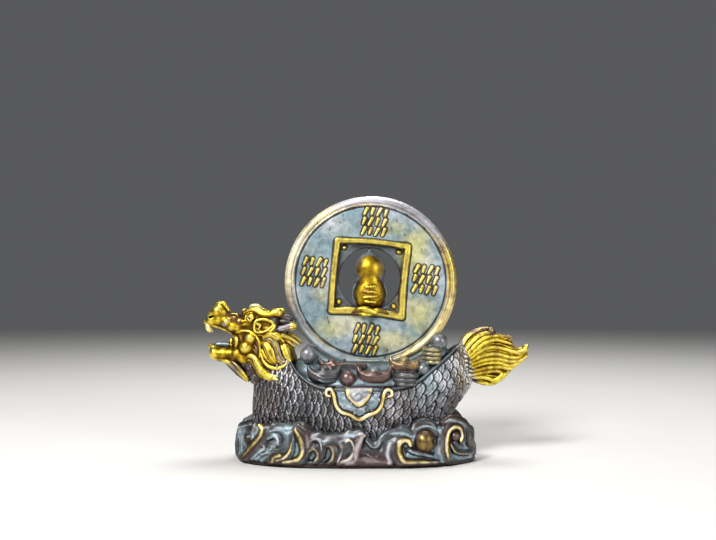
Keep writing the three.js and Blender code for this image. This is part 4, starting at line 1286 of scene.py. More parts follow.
# What lies on the bed: place, with the distance from the middle plane second, size and tone. The thin
# lines on the lowest ingot have points instead.
HEAP = [
    (pearl, (-24.7, 10.6, 44.6), 3.5, PALE),
    (ingot, (-14.8, 9.2, 39.8), 0.8, COPPER),
    (ingot, (-18.0, 14.2, 36.4), 1.0, GREY),
    (thin_line, [(-23, 16.2, 37.6), (-18.4, 17.9, 35.6), (-13, 17, 35.8)], GREY),
    (thin_line, [(-22.4, 16.4, 35.8), (-18, 17.7, 34), (-13.4, 17, 34.2)], GREY),
    (block, (-8.0, 9.4, 39.4), (3.4, 2.6, 2.0), GREY),
    (block, (-3.4, 9.2, 39.9), (2.8, 2.4, 1.5), COPPER),
    (pearl, (-8.2, 17.2, 35.4), 3.3, COPPER),
    (ingot, (2.8, 15.6, 36.0), 1.04, COPPER, PALE),
    (stack, (15.6, 14.4, 33.0), 5.7, 3, GREY),
    (ingot, (15.4, 13.6, 40.3), 0.92, GOLD, HORN),
    (pearl, (23.2, 11.6, 38.6), 3.0, PALE),
    (stack, (27.2, 8.6, 41.4), 4.2, 4, HORN),
    (pearl, (30.6, 5.4, 49.7), 3.7, PALE),
]
TREASURE_BOX = (-34.5, -22, 30), (38.5, 0, 54.5)
TREASURE_GRID = 0.31


def treasure(material):
    clay = Clay(*TREASURE_BOX, TREASURE_GRID)
    for middle, radii, soft in MOUNDS:
        clay.ball(middle, radii, soft, BLUE)
    clay.box(*BED, BLUE)
    clay.ball(*END_MOUND, BLUE)
    clay.strand(front(CRADLE), (1.2, 1.2), 1.4, 1.0, BLUE)
    for shape, *sizes in HEAP:
        shape(clay, *sizes)

    def paint(points, marks):
        """A bluish bloom lies in the gaps."""
        x, z, edge = points[:, 0], points[:, 2], marks["edge"]
        gap = step(0.1, -0.5, edge)
        marks["blue"] = np.clip(marks["blue"] + 0.5 * gap, 0, 1)
        marks["pale"] = np.maximum(marks["pale"], 0.35 * gap * step(-0.4, 0.6, noise(x, 0, z, 3, 51)))
        # The heap's painted shade is weaker and its painted highlights are held down.
        marks["edge"] = np.where(edge < 0, 0.6 * edge, np.minimum(edge, 0.75))

    clay.finish("treasure", material, TREASURE_TONES, paint)


# The dragon's head. Its halves mirror each other, and most of it is laid on a body cut out from the side.

HEAD_BOX = (-71.6, -14.2, 27.5), (-26.4, 0, 68.4)
FINE_GRID = 0.26
HEAD_OUTLINE = [
    (-68.9, 56.4), (-70.0, 57.6), (-69.6, 59.6), (-68.6, 61.8), (-67.4, 63.8), (-65.6, 65.6),
    (-63.6, 66.4), (-61.6, 65.0), (-60.2, 63.0), (-58.2, 61.4), (-56.0, 60.6), (-53.8, 61.8),
    (-51.6, 63.6), (-49.1, 64.6), (-46.5, 63.6), (-43.0, 61.9), (-40.4, 62.2), (-37.6, 61.6),
    (-36.2, 59.6), (-35.6, 56.0), (-34.6, 51.0), (-31.8, 46.0), (-30.4, 41.6), (-36.0, 37.6),
    (-41.0, 34.0), (-45.4, 31.0), (-49.4, 31.4), (-51.8, 34.6), (-54.4, 38.0), (-57.6, 41.2),
    (-58.4, 45.4), (-58.4, 49.4), (-57.6, 52.8), (-60.8, 54.1), (-64.0, 55.4), (-66.8, 56.4),
]
HEAD_DEPTHS = [
    (-70.5, 3.2), (-67, 4.4), (-62, 4.8), (-58, 5.4), (-54, 6.3), (-50, 7.4), (-46, 8.8), (-41, 10.6),
    (-35, 11.4),
]
JAW_OUTLINE = [
    (-55.0, 46.8), (-60.0, 47.0), (-63.5, 47.2), (-66.6, 48.2), (-67.9, 47.2), (-67.7, 44.6),
    (-66.6, 42.2), (-64.2, 41.0), (-61.0, 40.6), (-57.0, 39.8), (-53.0, 38.0), (-50.0, 38.6),
    (-49.0, 43.0), (-50.6, 47.0),
]
JAW_DEPTHS = [(-68.5, 2.6), (-66, 4.1), (-61, 4.8), (-56, 5.4), (-50, 5.8)]
# The ground's tones by stretches of x and z: the face, under the mane and the throat.
HEAD_GROUNDS = [
    ((-72, -45.6), (27, 69), GOLD), ((-45.8, -26), (40, 54), WARM), ((-58, -26), (27, 41), DARK),
]
# Round lumps: place, radius, how far out and tone.
HEAD_DABS = [
    # Nose and snout.
    ((-64.2, 62.7), 2.2, 0.1, GOLD), ((-66.8, 61.0), 1.6, 0.1, GOLD), ((-61.6, 61.2), 1.4, 0, WARM),
    ((-66.6, 58.5), 1.9, 0.1, GOLD), ((-63.4, 58.9), 1.5, 0, GOLD), ((-60.4, 58.6), 1.4, 0, WARM),
    ((-57.4, 56.1), 1.8, 0.2, GOLD), ((-57.2, 59.2), 1.4, 0, WARM), ((-54.4, 58.4), 1.6, 0, WARM),
    ((-54.6, 55.4), 1.3, 0, WARM), ((-60.8, 57.3), 0.9, 0.9, HORN), ((-59.4, 58.4), 0.8, 0.9, HORN),
    # The jaw, and the lumps behind the corner of the mouth.
    ((-65.2, 44.6), 2.6, 0.15, GOLD), ((-61.4, 44.9), 2.2, 0.1, GOLD), ((-58.0, 45.0), 1.8, 0, WARM),
    ((-55.2, 44.4), 2.2, 0.1, GOLD), ((-52.8, 42.8), 2.0, 0.1, GOLD), ((-56.8, 42.6), 1.4, 0, WARM),
    # The forehead.
    ((-51.8, 61.6), 1.3, 0.1, GOLD), ((-53.4, 63.0), 0.9, 0, WARM), ((-56.6, 61.0), 0.9, 0, WARM),
]
# Bars on the surface: points, radii, how far out, tone and grooves.
HEAD_LAID = [
    # Folds on the snout and the upper lip.
    ([(-66.4, 60), (-63.4, 60.9), (-60.6, 60.6), (-58.6, 59.4)], (0.4, 0.8, 0.8, 0.4), 0.1, WARM, 0),
    ([(-60.4, 60.6), (-58, 61.2), (-55.8, 60.4), (-54.8, 58.6)], (0.4, 0.7, 0.7, 0.4), 0.2, WARM, 0),
    ([(-56.2, 59.6), (-54, 58.8), (-52.4, 58.4), (-51.4, 59.4)], (0.4, 0.7, 0.7, 0.4), 0.2, GOLD, 0),
    ([(-56.6, 54.4), (-54.4, 56), (-51.6, 57.2), (-49.2, 57.2)], (0.5, 0.7, 0.7, 0.4), 0.1, GOLD, 0),
    ([(-69.3, 58.1), (-67.4, 57.6), (-64.2, 56.3), (-60.8, 54.7), (-58.2, 53.3), (-57.2, 52.2)],
     (1.1, 1.2, 0.9, 0.65, 0.6, 0.6), 0.6, GOLD, 0),
    # The lower lip, the fold under it and the corner of the mouth.
    ([(-67.5, 47.7), (-66.0, 47.1), (-63, 46.6), (-60, 46.8), (-57.8, 46.0)],
     (1.1, 1.1, 0.75, 0.65, 0.6), 0.6, GOLD, 0),
    ([(-67.4, 44.4), (-65, 42.9), (-61.6, 42.7), (-58.4, 42.9)], (0.5, 0.8, 0.8, 0.5), 0.2, WARM, 0),
    ([(-57.2, 52.6), (-55.7, 51.2), (-55.2, 49.4), (-55.9, 47.6)], (0.8, 1.15, 1.1, 0.6), 0.5, GOLD, 0),
    ([(-58.5, 50.6), (-58.5, 48.6), (-57.7, 46.2)], (0.6, 0.85, 0.7), 0.5, GOLD, 0),
    ([(-54.2, 52.6), (-53.4, 50.4), (-54, 47.6)], (0.5, 0.8, 0.5), 0.1, WARM, 0),
    # The eye's lids, and the brow.
    ([(-52, 59.4), (-51, 61.2), (-49.2, 61.9), (-47.4, 61)], (0.4, 0.65, 0.7, 0.4), 0.6, GOLD, 0),
    ([(-51.6, 58.6), (-49.8, 57.7), (-47.8, 58.4)], (0.4, 0.6, 0.4), 0.5, GOLD, 0),
    # The cheek's ridge, the lips of the ear and the scroll in it.
    ([(-55.6, 53.6), (-52.6, 54.4), (-49.8, 54.1), (-47.4, 52.7), (-45.6, 50.2), (-45, 47), (-45.1, 43.6)],
     (0.45, 0.55, 0.6, 0.6, 0.6, 0.6, 0.5), 0.9, GOLD, 0),
    ([(-46, 52.7), (-43, 53), (-40.4, 54.4), (-38.8, 56.8)], (0.5, 0.65, 0.7, 0.5), 0.6, GOLD, 0),
    # The mane: broad locks with thinner ones between them.
    ([(-43.4, 52.0), (-40.8, 53.0), (-37.8, 52.0), (-35.8, 49.6), (-34.6, 46.8), (-33.6, 44.2),
      (-32.0, 41.9)],
     (0.8, 1.2, 1.7, 2.0, 2.0, 1.6, 0.5), 0.6, GOLD, 7),
    ([(-43.6, 51.2), (-40.9, 51.5), (-38.9, 49.6), (-37.9, 46.4), (-37.0, 43.4), (-34.8, 41.6)],
     (0.5, 0.8, 0.95, 0.95, 0.8, 0.4), 0.6, GOLD, 0),
    ([(-43.8, 50.2), (-41.5, 50.3), (-39.8, 48.6), (-38.6, 45.4), (-37.4, 42.4), (-35.6, 40.9)],
     (0.5, 0.7, 0.8, 0.8, 0.7, 0.35), 0.7, GOLD, 0),
    ([(-43.2, 50.9), (-40.6, 51.0), (-39.2, 49.0), (-38.2, 45.8), (-37.1, 42.8), (-35.0, 41.2)],
     (0.3, 0.35, 0.4, 0.4, 0.4, 0.25), 2.4, HORN, 0),
    ([(-43.0, 51.6), (-40.0, 52.2), (-37.8, 49.8), (-36.8, 46.6), (-35.8, 43.6), (-33.8, 41.6)],
     (0.3, 0.4, 0.45, 0.45, 0.4, 0.25), 2.2, HORN, 0),
    ([(-44, 49.2), (-42, 48.6), (-40.6, 46.4), (-39.5, 43.8), (-38.1, 40.8)],
     (0.8, 1.7, 2.2, 1.9, 0.5), 0.5, GOLD, 7),
    ([(-44.2, 46.4), (-43, 44.4), (-41.4, 42.4), (-39.6, 41)], (0.5, 0.8, 0.8, 0.4), 0.6, GOLD, 0),
    ([(-44.4, 44.4), (-43.4, 41.8), (-41.2, 39.7), (-38, 38.9), (-35.4, 39.6), (-33.6, 41)],
     (0.5, 0.7, 0.75, 0.75, 0.7, 0.4), 0.9, GOLD, 0),
    # Fine hairs behind the cheek.
    ([(-48.4, 48.8), (-46.9, 47.4), (-46.3, 44.8)], (0.3, 0.4, 0.3), 0.9, WARM, 0),
    ([(-48.6, 47.2), (-47.2, 45.8), (-46.7, 43.6)], (0.3, 0.4, 0.3), 0.9, WARM, 0),
    ([(-47.6, 50.6), (-46.3, 49.2), (-46.0, 46.6)], (0.3, 0.4, 0.3), 0.9, WARM, 0),
    # The beard, and the thin lock beside it.
    ([(-51.6, 43.2), (-49.4, 44), (-47.2, 42.8), (-45.8, 40.4), (-44.0, 37.8), (-41.4, 35.6),
      (-37.2, 34.4)],
     (0.7, 1.1, 1.4, 1.6, 1.7, 1.3, 0.5), 0.6, GOLD, 0),
    ([(-46.4, 43.4), (-44.7, 41), (-43, 38.2), (-40.6, 36.3), (-37.2, 35.8)],
     (0.4, 0.6, 0.65, 0.6, 0.3), 0.8, PALE, 0),
    ([(-50.4, 42.2), (-48.4, 41.6), (-46.9, 39.2), (-45.2, 36.6), (-42.6, 34.7), (-39.6, 33.9)],
     (0.5, 0.8, 0.9, 0.9, 0.7, 0.3), 0.3, WARM, 0),
]
# Bars that stand clear of the surface: points as x, distance from the middle plane and z, radii and tone.
HEAD_FREE = [
    ([(-65.2, 1.0, 63.8), (-64.4, 1.0, 65.5), (-62.9, 1.0, 66.1), (-61.4, 1.1, 64.9), (-59.8, 1.3, 62.8)],
     (0.9, 1.0, 0.95, 0.95, 0.5), GOLD),
    ([(-68.5, 2.6, 56.6), (-68.2, 2.8, 55.2), (-67.5, 2.7, 54.1)], (1.1, 1.0, 0.65), PALE),
    ([(-55, 0, 47.0), (-60, 0, 48.0), (-64.4, 0, 48.2), (-65.8, 0, 47.8)], (1.9, 1.5, 1.3, 0.8), GREY),
    ([(-51.2, 5.2, 62.4), (-49.4, 6.2, 63.5), (-47.0, 6.9, 63.1), (-44.2, 7.4, 61.5), (-41.4, 7.6, 61.0),
      (-38.6, 7.4, 61.9)],
     (0.6, 1.0, 1.4, 1.5, 1.6, 1.9), GOLD),
    ([(-39.4, 7.2, 61.8), (-37.9, 7.2, 62.0)], (2.0, 2.1), GOLD),
    ([(-50.2, 2.6, 63.6), (-49.6, 3.6, 65.0), (-47.8, 4.0, 65.0), (-46.4, 4.0, 64)],
     (0.6, 0.75, 0.75, 0.5), PALE),
    ([(-41, 7.8, 54.5), (-37.6, 8.6, 54.9), (-34, 8.9, 55.7), (-31.2, 8.9, 56.3)],
     (1.2, 1.4, 1.4, 1.7), HORN),
    ([(-38.8, 9.2, 53.4), (-35.6, 9.7, 52.6), (-32.2, 9.1, 51.2), (-28.8, 8.0, 48.6)],
     (0.6, 1.0, 0.9, 0.45), WARM),
    ([(-36.8, 9.6, 51.2), (-33.4, 9.5, 50), (-30.4, 8.6, 47.6)], (0.5, 0.75, 0.4), WARM),
    ([(-38.6, 5.8, 60), (-35.6, 6.4, 60.2), (-33.0, 6.2, 59.2)], (1.3, 1.1, 0.6), DARK),
    ([(-38.2, 6.6, 58.2), (-35, 7.2, 58.4), (-32.0, 6.8, 57.8)], (1.1, 0.9, 0.5), DARK),
    ([(-62.2, 3.4, 42.4), (-59.0, 4.2, 40.9), (-56.0, 4.8, 38.6), (-53.4, 4.8, 35.8), (-50.6, 4.6, 32.8)],
     (0.9, 1.2, 1.25, 1.0, 0.4), GOLD),
    ([(-58.0, 5.0, 41.6), (-55.2, 5.7, 39.6), (-52.8, 5.8, 36.8), (-50.6, 5.4, 34.0)],
     (0.5, 0.75, 0.7, 0.35), GOLD),
    ([(-60.4, 2.0, 41.8), (-57.4, 2.2, 39.6), (-54.6, 2.4, 36.8), (-51.4, 2.6, 33.6)],
     (1.6, 2.1, 2.1, 1.2), DARK),
]
# The cheek's two lobes: middle, radius and how far their middle is sunk.
CHEEK = [((-51.1, 47.5), 3.1, 0.7), ((-49.2, 51.2), 2.6, 0.4)]
# Curls under the jaw: middle and radius.
CURLS = [((-49.6, 39.2), 1.6), ((-52.4, 39.8), 1.1), ((-50.6, 36.0), 1.2), ((-48.2, 34.6), 1.2)]
# Places where the gold is browned and darkened as painted shade: middle, radii and strength.
HEAD_SHADED_PLACES = [
    ((-58.6, 61.6), (2.4, 1.6), 0.9), ((-55.4, 58.6), (3.0, 1.8), 0.8), ((-52.4, 56.2), (2.4, 1.8), 0.7),
    ((-61.4, 57.0), (2.2, 1.2), 0.6), ((-59.5, 43.4), (4.5, 1.3), 0.6), ((-54.4, 49.6), (1.3, 3.6), 0.8),
    ((-47.0, 47.6), (1.6, 4.4), 0.9), ((-51.4, 44.0), (2.6, 1.2), 0.6), ((-48.0, 57.8), (1.6, 2.2), 0.7),
    ((-53.6, 60.6), (1.6, 1.4), 0.7),
]
EYE = ((-49.2, 59.8), 1.8)
NOSTRIL = [(-68.2, 60.9), (-67.0, 60.2), (-65.8, 60.6)]
# The ear is a bowl with a raised lip and a scroll in it. The bowl's paint has a middle and radii.
EAR_BOWL = ((-43.4, 56.7), (3.3, 1.9))
EAR_SCROLL = [(-46, 0.6, 57.4), (-45, 0.5, 56.9), (-45.4, 0.5, 55.6)]
EAR = [
    (-47.5, 56.2), (-46.8, 58.5), (-44.2, 59.4), (-41.4, 58.8), (-39.5, 57.4), (-41.2, 55.2),
    (-44.0, 54.0), (-46.8, 54.2), (-47.5, 56.2),
]


def head_body(clay):
    """The head and the jaw, and how far out things are laid on them and on the hull."""
    clay.slab(HEAD_OUTLINE, HEAD_DEPTHS, 4.2, 1, DARK)
    clay.slab(JAW_OUTLINE, JAW_DEPTHS, 3.4, 1, GOLD)
    x, _, z = np.meshgrid(*clay.axes, indexing="ij", sparse=True)
    for (left, right), (low, high), tone in HEAD_GROUNDS:
        there = (x > left) & (x < right) & (z > low) & (z < high)
        clay.tones = np.where(there, tone, clay.tones).astype(np.int8)
    clay.take_surface(1.0)
    x, z = x[:, 0], z[0]
    on_hull = np.where(z < 48, hull_half_width(x, z) + 0.5, 0)
    clay.depth = clay.blurred(np.maximum(clay.depth, on_hull)[:, None], 1.6)[:, 0]


def ear(clay):
    y = -clay.depth_at(-43, 56.6)
    clay.ball((-43.7, y + 0.5, 56.7), (4.6, 2.0, 2.9), 0.8, GOLD, turn=-0.1)
    clay.ball((-43.4, y - 1.6, 56.7), (4.0, 2.4, 2.3), 0.3, WARM, cut=True, turn=-0.1)
    clay.strand([(x, y - 1.0 + 0.05 * (x + 43), z) for x, z in EAR], (0.5, 0.5), 0.2, 1, GOLD)
    clay.strand([(x, y - out, z) for x, out, z in EAR_SCROLL], (0.7, 0.6, 0.4), 0.2, 1, GOLD)


def eye(clay):
    (x, z), radius = EYE
    clay.dab(x, z, radius, GOLD, 0.25, 0.15)
    clay.ball((x - 0.5, -clay.depth_at(x, z) - 1.9, z), 0.5, 0.1, DARK, cut=True)


def curls(clay):
    """Spirals that tighten to their middles."""
    turns = np.linspace(0.4, 8.2, 22)
    for (x, z), radius in CURLS:
        size = radius * (1 - turns / 10)
        spiral = np.stack([x + size * np.cos(turns), z + size * np.sin(turns)], -1)
        clay.lay(spiral, (0.4, 0.5), DARK, 0.5, 0.1)


def paint_head(points, marks):
    """Browner gold with painted shade in the shaded places, on undersides and under the jaw, a painted
    highlight on the cheek, and gilt tips.
    """
    x, z, edge = points[:, 0], points[:, 2], marks["edge"]
    # Less gold at the underside of the jaw, as painted shade.
    marks["gold"] *= 1 - 0.5 * step(42.5, 40.5, z) * step(-61, -58, x) * step(-50, -54, x)
    for (px, pz), (rx, rz), strength in HEAD_SHADED_PLACES:
        # Each place browns the gold and darkens it as painted shade.
        far = np.hypot((x - px) / rx, (z - pz) / rz) + 0.2 * noise(x, 0, z, 2, 71)
        stain = strength * bump(far, 1)
        marks["gold"] *= 1 - 0.4 * stain
        marks["warm"] = np.maximum(marks["warm"], stain)
        edge -= 0.7 * stain * (edge < 0.6)
    # Painted shade under the jaw, and a little over the whole head.
    below = step(44.4, 41.4, z - 0.25 * np.clip(x + 58, -10, 0)) * step(-52, -56, x)
    marks["gold"] *= 1 - 0.35 * below
    edge -= 0.5 * below * (edge < 0.7) + 0.12
    # A painted highlight on the cheek's lobes.
    for (px, pz), _, _ in CHEEK:
        edge += 0.45 * bump(np.hypot(x - px, z - pz), 1.9)
    # In the ear's bowl the gold is kept and its painted shade held at a middling level.
    (px, pz), (rx, rz) = EAR_BOWL
    bowl = np.hypot((x - px) / rx, (z - pz) / rz) < 1
    marks["gold"][bowl] = np.maximum(marks["gold"][bowl], 0.62)
    edge[bowl] = np.maximum(edge[bowl], -0.22)
    # The horn behind the ear has a gilt tip.
    bulb = step(-33.6, -31.6, x)
    marks["gold"] = np.maximum(marks["gold"], 0.55 * bulb * (z > 54))
    marks["pale"] *= 1 - bulb
    # Brown painted shade in the hollows.
    marks["warm"] = np.maximum(marks["warm"], 0.5 * step(0.1, -0.5, edge))


def head(material):
    clay = Clay(*HEAD_BOX, FINE_GRID)
    head_body(clay)
    for (x, z), radius, lift, tone in HEAD_DABS:
        clay.dab(x, z, radius, tone, lift - 0.55, 1.5)
    for (x, z), radius, sunk in CHEEK:
        clay.ball((x, sunk - clay.depth_at(x, z), z), radius, 1.1, GOLD)
    for points, radii, lift, tone, hairs in HEAD_LAID:
        clay.lay(points, radii, tone, lift - 0.3, 0.3, 1.2, hairs)
    for points, radii, tone in HEAD_FREE:
        clay.strand(front(points), radii, 0.3, 1, tone, hairs=9 if tone == HORN else 0)
    ear(clay)
    eye(clay)
    curls(clay)
    clay.lay(NOSTRIL, (0.3, 0.55, 0.3), DARK, 1.2, 0.3, cut=True)
    clay.finish("head", material, TONES, paint_head)


# The tail fin, whose rays fan out from the root.

TAIL_BOX = (36.5, -8, 28.5), (71.2, 0, 58.5)
# The broad rays, and thin ones between them.
RAYS = [
    [(41.6, 45.4), (44, 48.6), (47.6, 51.8), (51.4, 53.2), (54.6, 53.2)],
    [(43, 44.6), (46, 47.9), (49.6, 50.8), (53, 52), (57.4, 52), (62.4, 51.6)],
    [(43.6, 43.7), (47.4, 46.8), (51.6, 49.6), (55.1, 50.4), (58.6, 49.7), (62.6, 48.4)],
    [(44, 42.4), (48.8, 45.8), (54, 47.3), (59.4, 46.4), (62.6, 45.4), (66.2, 44.6), (67.9, 46.2),
     (69.3, 47.8)],
    [(44.4, 41.1), (49.4, 43.6), (55.2, 44.4), (60.6, 43.1), (64.6, 42.8), (67.6, 44.5)],
    [(44.6, 39.9), (50, 41.7), (55.4, 42.3), (60.8, 41.2), (65.4, 41.4), (68.8, 43.4)],
    [(44.8, 38.6), (50.6, 40.3), (56, 40.6), (60.5, 39.3), (64.6, 40.1), (67.5, 41.9)],
    [(44.8, 37), (51.6, 38.5), (56.7, 38.8), (61, 38), (63.6, 38.8)],
    [(44.8, 35.6), (50.3, 36.6), (55.1, 37.1), (58.4, 36.2), (60.2, 36.4)],
    [(44.6, 34.4), (49.7, 34.5), (53.5, 33.4), (56.7, 33.6), (59.2, 35.2)],
    [(45.6, 33), (49.4, 32), (52.4, 31.7), (55, 32.2), (58.4, 34)],
]
THIN_RAYS = [
    [(43.4, 44.2), (47, 47.5), (51.4, 50.4), (55, 51.3), (60, 50.8)],
    [(44.2, 43), (48.4, 46.3), (52.6, 48.6), (57, 48.6), (62, 46.9)],
    [(44.4, 41.7), (49.2, 44.7), (54.6, 45.9), (59.6, 44.8), (64.4, 43.8)],
    [(45, 40.5), (50, 42.7), (55.4, 43.4), (60.6, 42.2), (66.6, 42.8)],
    [(45, 39.2), (50.6, 41), (56, 41.5), (61, 40.2), (66.4, 41.4)],
    [(45, 36.3), (50.6, 37.6), (56, 38), (60, 37.2)],
    [(45, 35), (50, 35.5), (54, 34.9), (57.8, 34.8)],
]
FIN_OUTLINE = [
    (40.6, 46.5), (42.6, 49.6), (45.4, 51.8), (48.8, 53.2), (53.0, 53.2), (58.2, 52.4), (62.2, 52.2),
    (63.3, 51.2), (62.6, 49.6), (63.2, 47.9), (65.0, 47.1), (66.9, 47.2), (67.9, 48.2), (69.1, 48.2),
    (69.9, 47.1), (69.3, 45.3), (69.4, 43.2), (67.7, 41.1), (64.6, 38.8), (62.3, 36.9), (59.8, 34.9),
    (57.8, 33.0), (55.1, 31.7), (52.2, 31.1), (49.1, 31.6), (45.4, 33.2), (41.6, 35.6), (39.4, 40.0),
]
FIN_DEPTHS = [(38, 4.6), (43, 4.0), (48, 3.0), (54, 2.3), (60, 1.8), (66, 1.3), (70, 1.0)]
# The brown lobe that curls over at the top.
LOBE_OUTLINE = [
    (39.4, 46.6), (40.2, 50.4), (42.4, 53.2), (45.6, 55.0), (49.1, 56.0), (51.9, 56.2), (54.5, 55.6),
    (55.7, 53.9), (55.5, 52.2), (50.0, 51.2), (45.4, 48.6), (43.4, 45.6),
]
LOBE_DEPTHS = [(38, 3.4), (44, 2.6), (52, 2.2), (56, 1.8)]
LOBE_LINES = [
    [(41.6, 47.0), (43.8, 50.0), (46.6, 52.4), (49.6, 53.8)],
    [(41.0, 47.6), (43.0, 51.0), (45.8, 53.4), (48.8, 54.8)],
    [(42.4, 46.4), (44.8, 49.2), (47.8, 51.6), (51, 53)],
]


# Where the rows of small scales on the fin's root start, and how far apart they are each way.
ROOT_SCALES = {"x": 40.6, "z": 33.4, "rows": 4, "columns": 9, "across": 1.7, "up": 1.75}
# The lowest lobe curls up, and the longest ray ends in an upturned tip: points and radii.
FIN_TIPS = [
    ([(53.6, 32.8), (56.2, 33.6), (58.2, 35.2), (60.6, 36.6)], (0.9, 1.5, 1.4, 0.7), 0.4),
    ([(65.8, 45.2), (67.8, 46.0), (69.0, 47.4)], (0.8, 1.2, 0.7), 0.5),
]


def root_scales(clay):
    """The last scales, which lap over the fin's root."""
    for row in range(ROOT_SCALES["rows"]):
        for k in range(ROOT_SCALES["columns"]):
            x = ROOT_SCALES["x"] + ROOT_SCALES["across"] * row
            z = ROOT_SCALES["z"] + ROOT_SCALES["up"] * (k + 0.5 * (row % 2)) + 0.2 * row
            if x < 46.4 - 0.09 * (z - 40) ** 2 and z < 47:
                y = 0.9 - clay.depth_at(x, z)
                clay.ball((x, y, z), (1.5, 1.7, 1.15), 0.1, GREY, turn=0.25)


def paint_tail(points, marks):
    """The gold turns to olive and grey at the root, and to brown on the upper lobe."""
    x, z = points[:, 0], points[:, 2]
    strength = step(42.2, 46.4, x + 0.35 * (z - 42))
    gold = np.maximum(marks["gold"] * (0.3 + 0.7 * strength), 0.35 * (1 - strength))
    lobe = 0.55 * step(51.5, 54, z + 0.12 * (x - 44))
    ends = 0.3 * step(59, 65, x) * step(0.8, 0, noise(x, 0, z, 3, 61))
    marks["gold"] = gold * (1 - np.clip(lobe + ends, 0, 0.6))
    # Pale painted highlights on the proud parts of the root.
    marks["pale"] = np.maximum(marks["pale"], 0.6 * (1 - strength) * step(0.4, 0.9, marks["edge"]))
    # Uneven painted shade over the whole tail.
    marks["edge"] += 0.25 * noise(x, 0, z, 4, 62) - 0.15


def tail(material):
    clay = Clay(*TAIL_BOX, FINE_GRID)
    clay.slab(LOBE_OUTLINE, LOBE_DEPTHS, 1.6, 0.6, WARM)
    clay.slab(FIN_OUTLINE, FIN_DEPTHS, 1.5, 0.5, WARM)
    clay.take_surface(0.8)
    for points in LOBE_LINES:
        clay.lay(points, (0.4, 0.4, 0.35, 0.25), GOLD, 0.4, 0.15)
    root_scales(clay)
    # The lobe ends in a knob with a dimple.
    clay.dab(53.4, 54.4, 1.5, WARM, 0, 0.5)
    clay.dab(51.6, 54.9, 0.5, DARK, 0.4, 0.3, cut=True)
    for points in RAYS:
        clay.lay(points, (0.7, 0.95, 1.0, 0.95, 0.6), GOLD, 0.25, 0.2)
    for points in THIN_RAYS:
        clay.lay(points, (0.35, 0.45, 0.45, 0.35), GOLD, 0.7, 0.2)
    for points, radii, lift in FIN_TIPS:
        clay.lay(points, radii, GOLD, lift, 0.4)
    clay.finish("tail", material, TONES, paint_tail)


# The one finish of the whole casting: dark brass with gilding, blue patina and coppery wear, with
# painted highlights where it is proud and painted shade in its hollows.

# Colours from their darker to their lighter grain: bare metal, coppery wear, patina, bloom and gilding,
# then the gilding's stain and its painted shade.
BARE = (0.026, 0.021, 0.020), (0.085, 0.068, 0.062)
COPPERY = (0.075, 0.040, 0.034), (0.235, 0.135, 0.115)
BLUE_GREY = (0.07, 0.125, 0.15), (0.30, 0.41, 0.45)
YELLOW_GREEN = (0.32, 0.32, 0.12), (0.76, 0.72, 0.30)
GILDING = (0.52, 0.34, 0.012), (0.80, 0.61, 0.035)
GILDING_STAIN, GILDING_SHADE = (0.26, 0.135, 0.008), (0.15, 0.070, 0.006)
# Colours without and with gilding: worn edges with a painted highlight, pale bloom that also carries
# painted highlights, and dark patina with painted shade in the depths.
RUBBED_AND_HIGHLIGHT = (0.46, 0.46, 0.50), (0.98, 0.87, 0.25)
PALE_BLOOM_AND_HIGHLIGHT = (0.60, 0.58, 0.64), (0.92, 0.85, 0.58)
DEPTHS = (0.012, 0.010, 0.010), (0.050, 0.021, 0.003)


class Nodes:
    """Short names for adding shader nodes."""

    def __init__(self, material):
        material.use_nodes = True
        self.tree = material.node_tree
        self.shader = self.tree.nodes["Principled BSDF"]
        self.place = self.tree.nodes.new("ShaderNodeTexCoord").outputs["Object"]

    def wire(self, socket, value):
        if hasattr(value, "is_output"):
            self.tree.links.new(value, socket)
        else:
            socket.default_value = value

    def math(self, kind, a, b=0.0, c=0.0, clamp=False):
        node = self.tree.nodes.new("ShaderNodeMath")
        node.operation, node.use_clamp = kind, clamp
        for socket, value in zip(node.inputs, (a, b, c)):
            self.wire(socket, value)
        return node.outputs[0]

    def mix(self, share, a, b):
        node = self.tree.nodes.new("ShaderNodeMix")
        node.data_type = "RGBA"
        self.wire(node.inputs["Factor"], share)
        self.wire(node.inputs[6], a if hasattr(a, "is_output") else (*a, 1))
        self.wire(node.inputs[7], b if hasattr(b, "is_output") else (*b, 1))
        return node.outputs[2]

    def fade(self, value, low, high):
        """A smooth step from 0 where the value is low to 1 where it is high."""
        node = self.tree.nodes.new("ShaderNodeMapRange")
        node.interpolation_type = "SMOOTHSTEP"
        for socket, v in zip(node.inputs, (value, low, high, 0.0, 1.0)):
            self.wire(socket, v)
        return node.outputs[0]

    def mark(self, name):
        node = self.tree.nodes.new("ShaderNodeAttribute")
        node.attribute_name = name
        return node.outputs["Fac"]

    def noise(self, grain, detail=4.0, rough=0.55):
        """Noise whose grains are about the given number of millimetres."""
        node = self.tree.nodes.new("ShaderNodeTexNoise")
        self.wire(node.inputs["Vector"], self.place)
        node.inputs["Scale"].default_value = 1 / (grain * MM)
        node.inputs["Detail"].default_value = detail
        node.inputs["Roughness"].default_value = rough
        return node.outputs["Fac"]


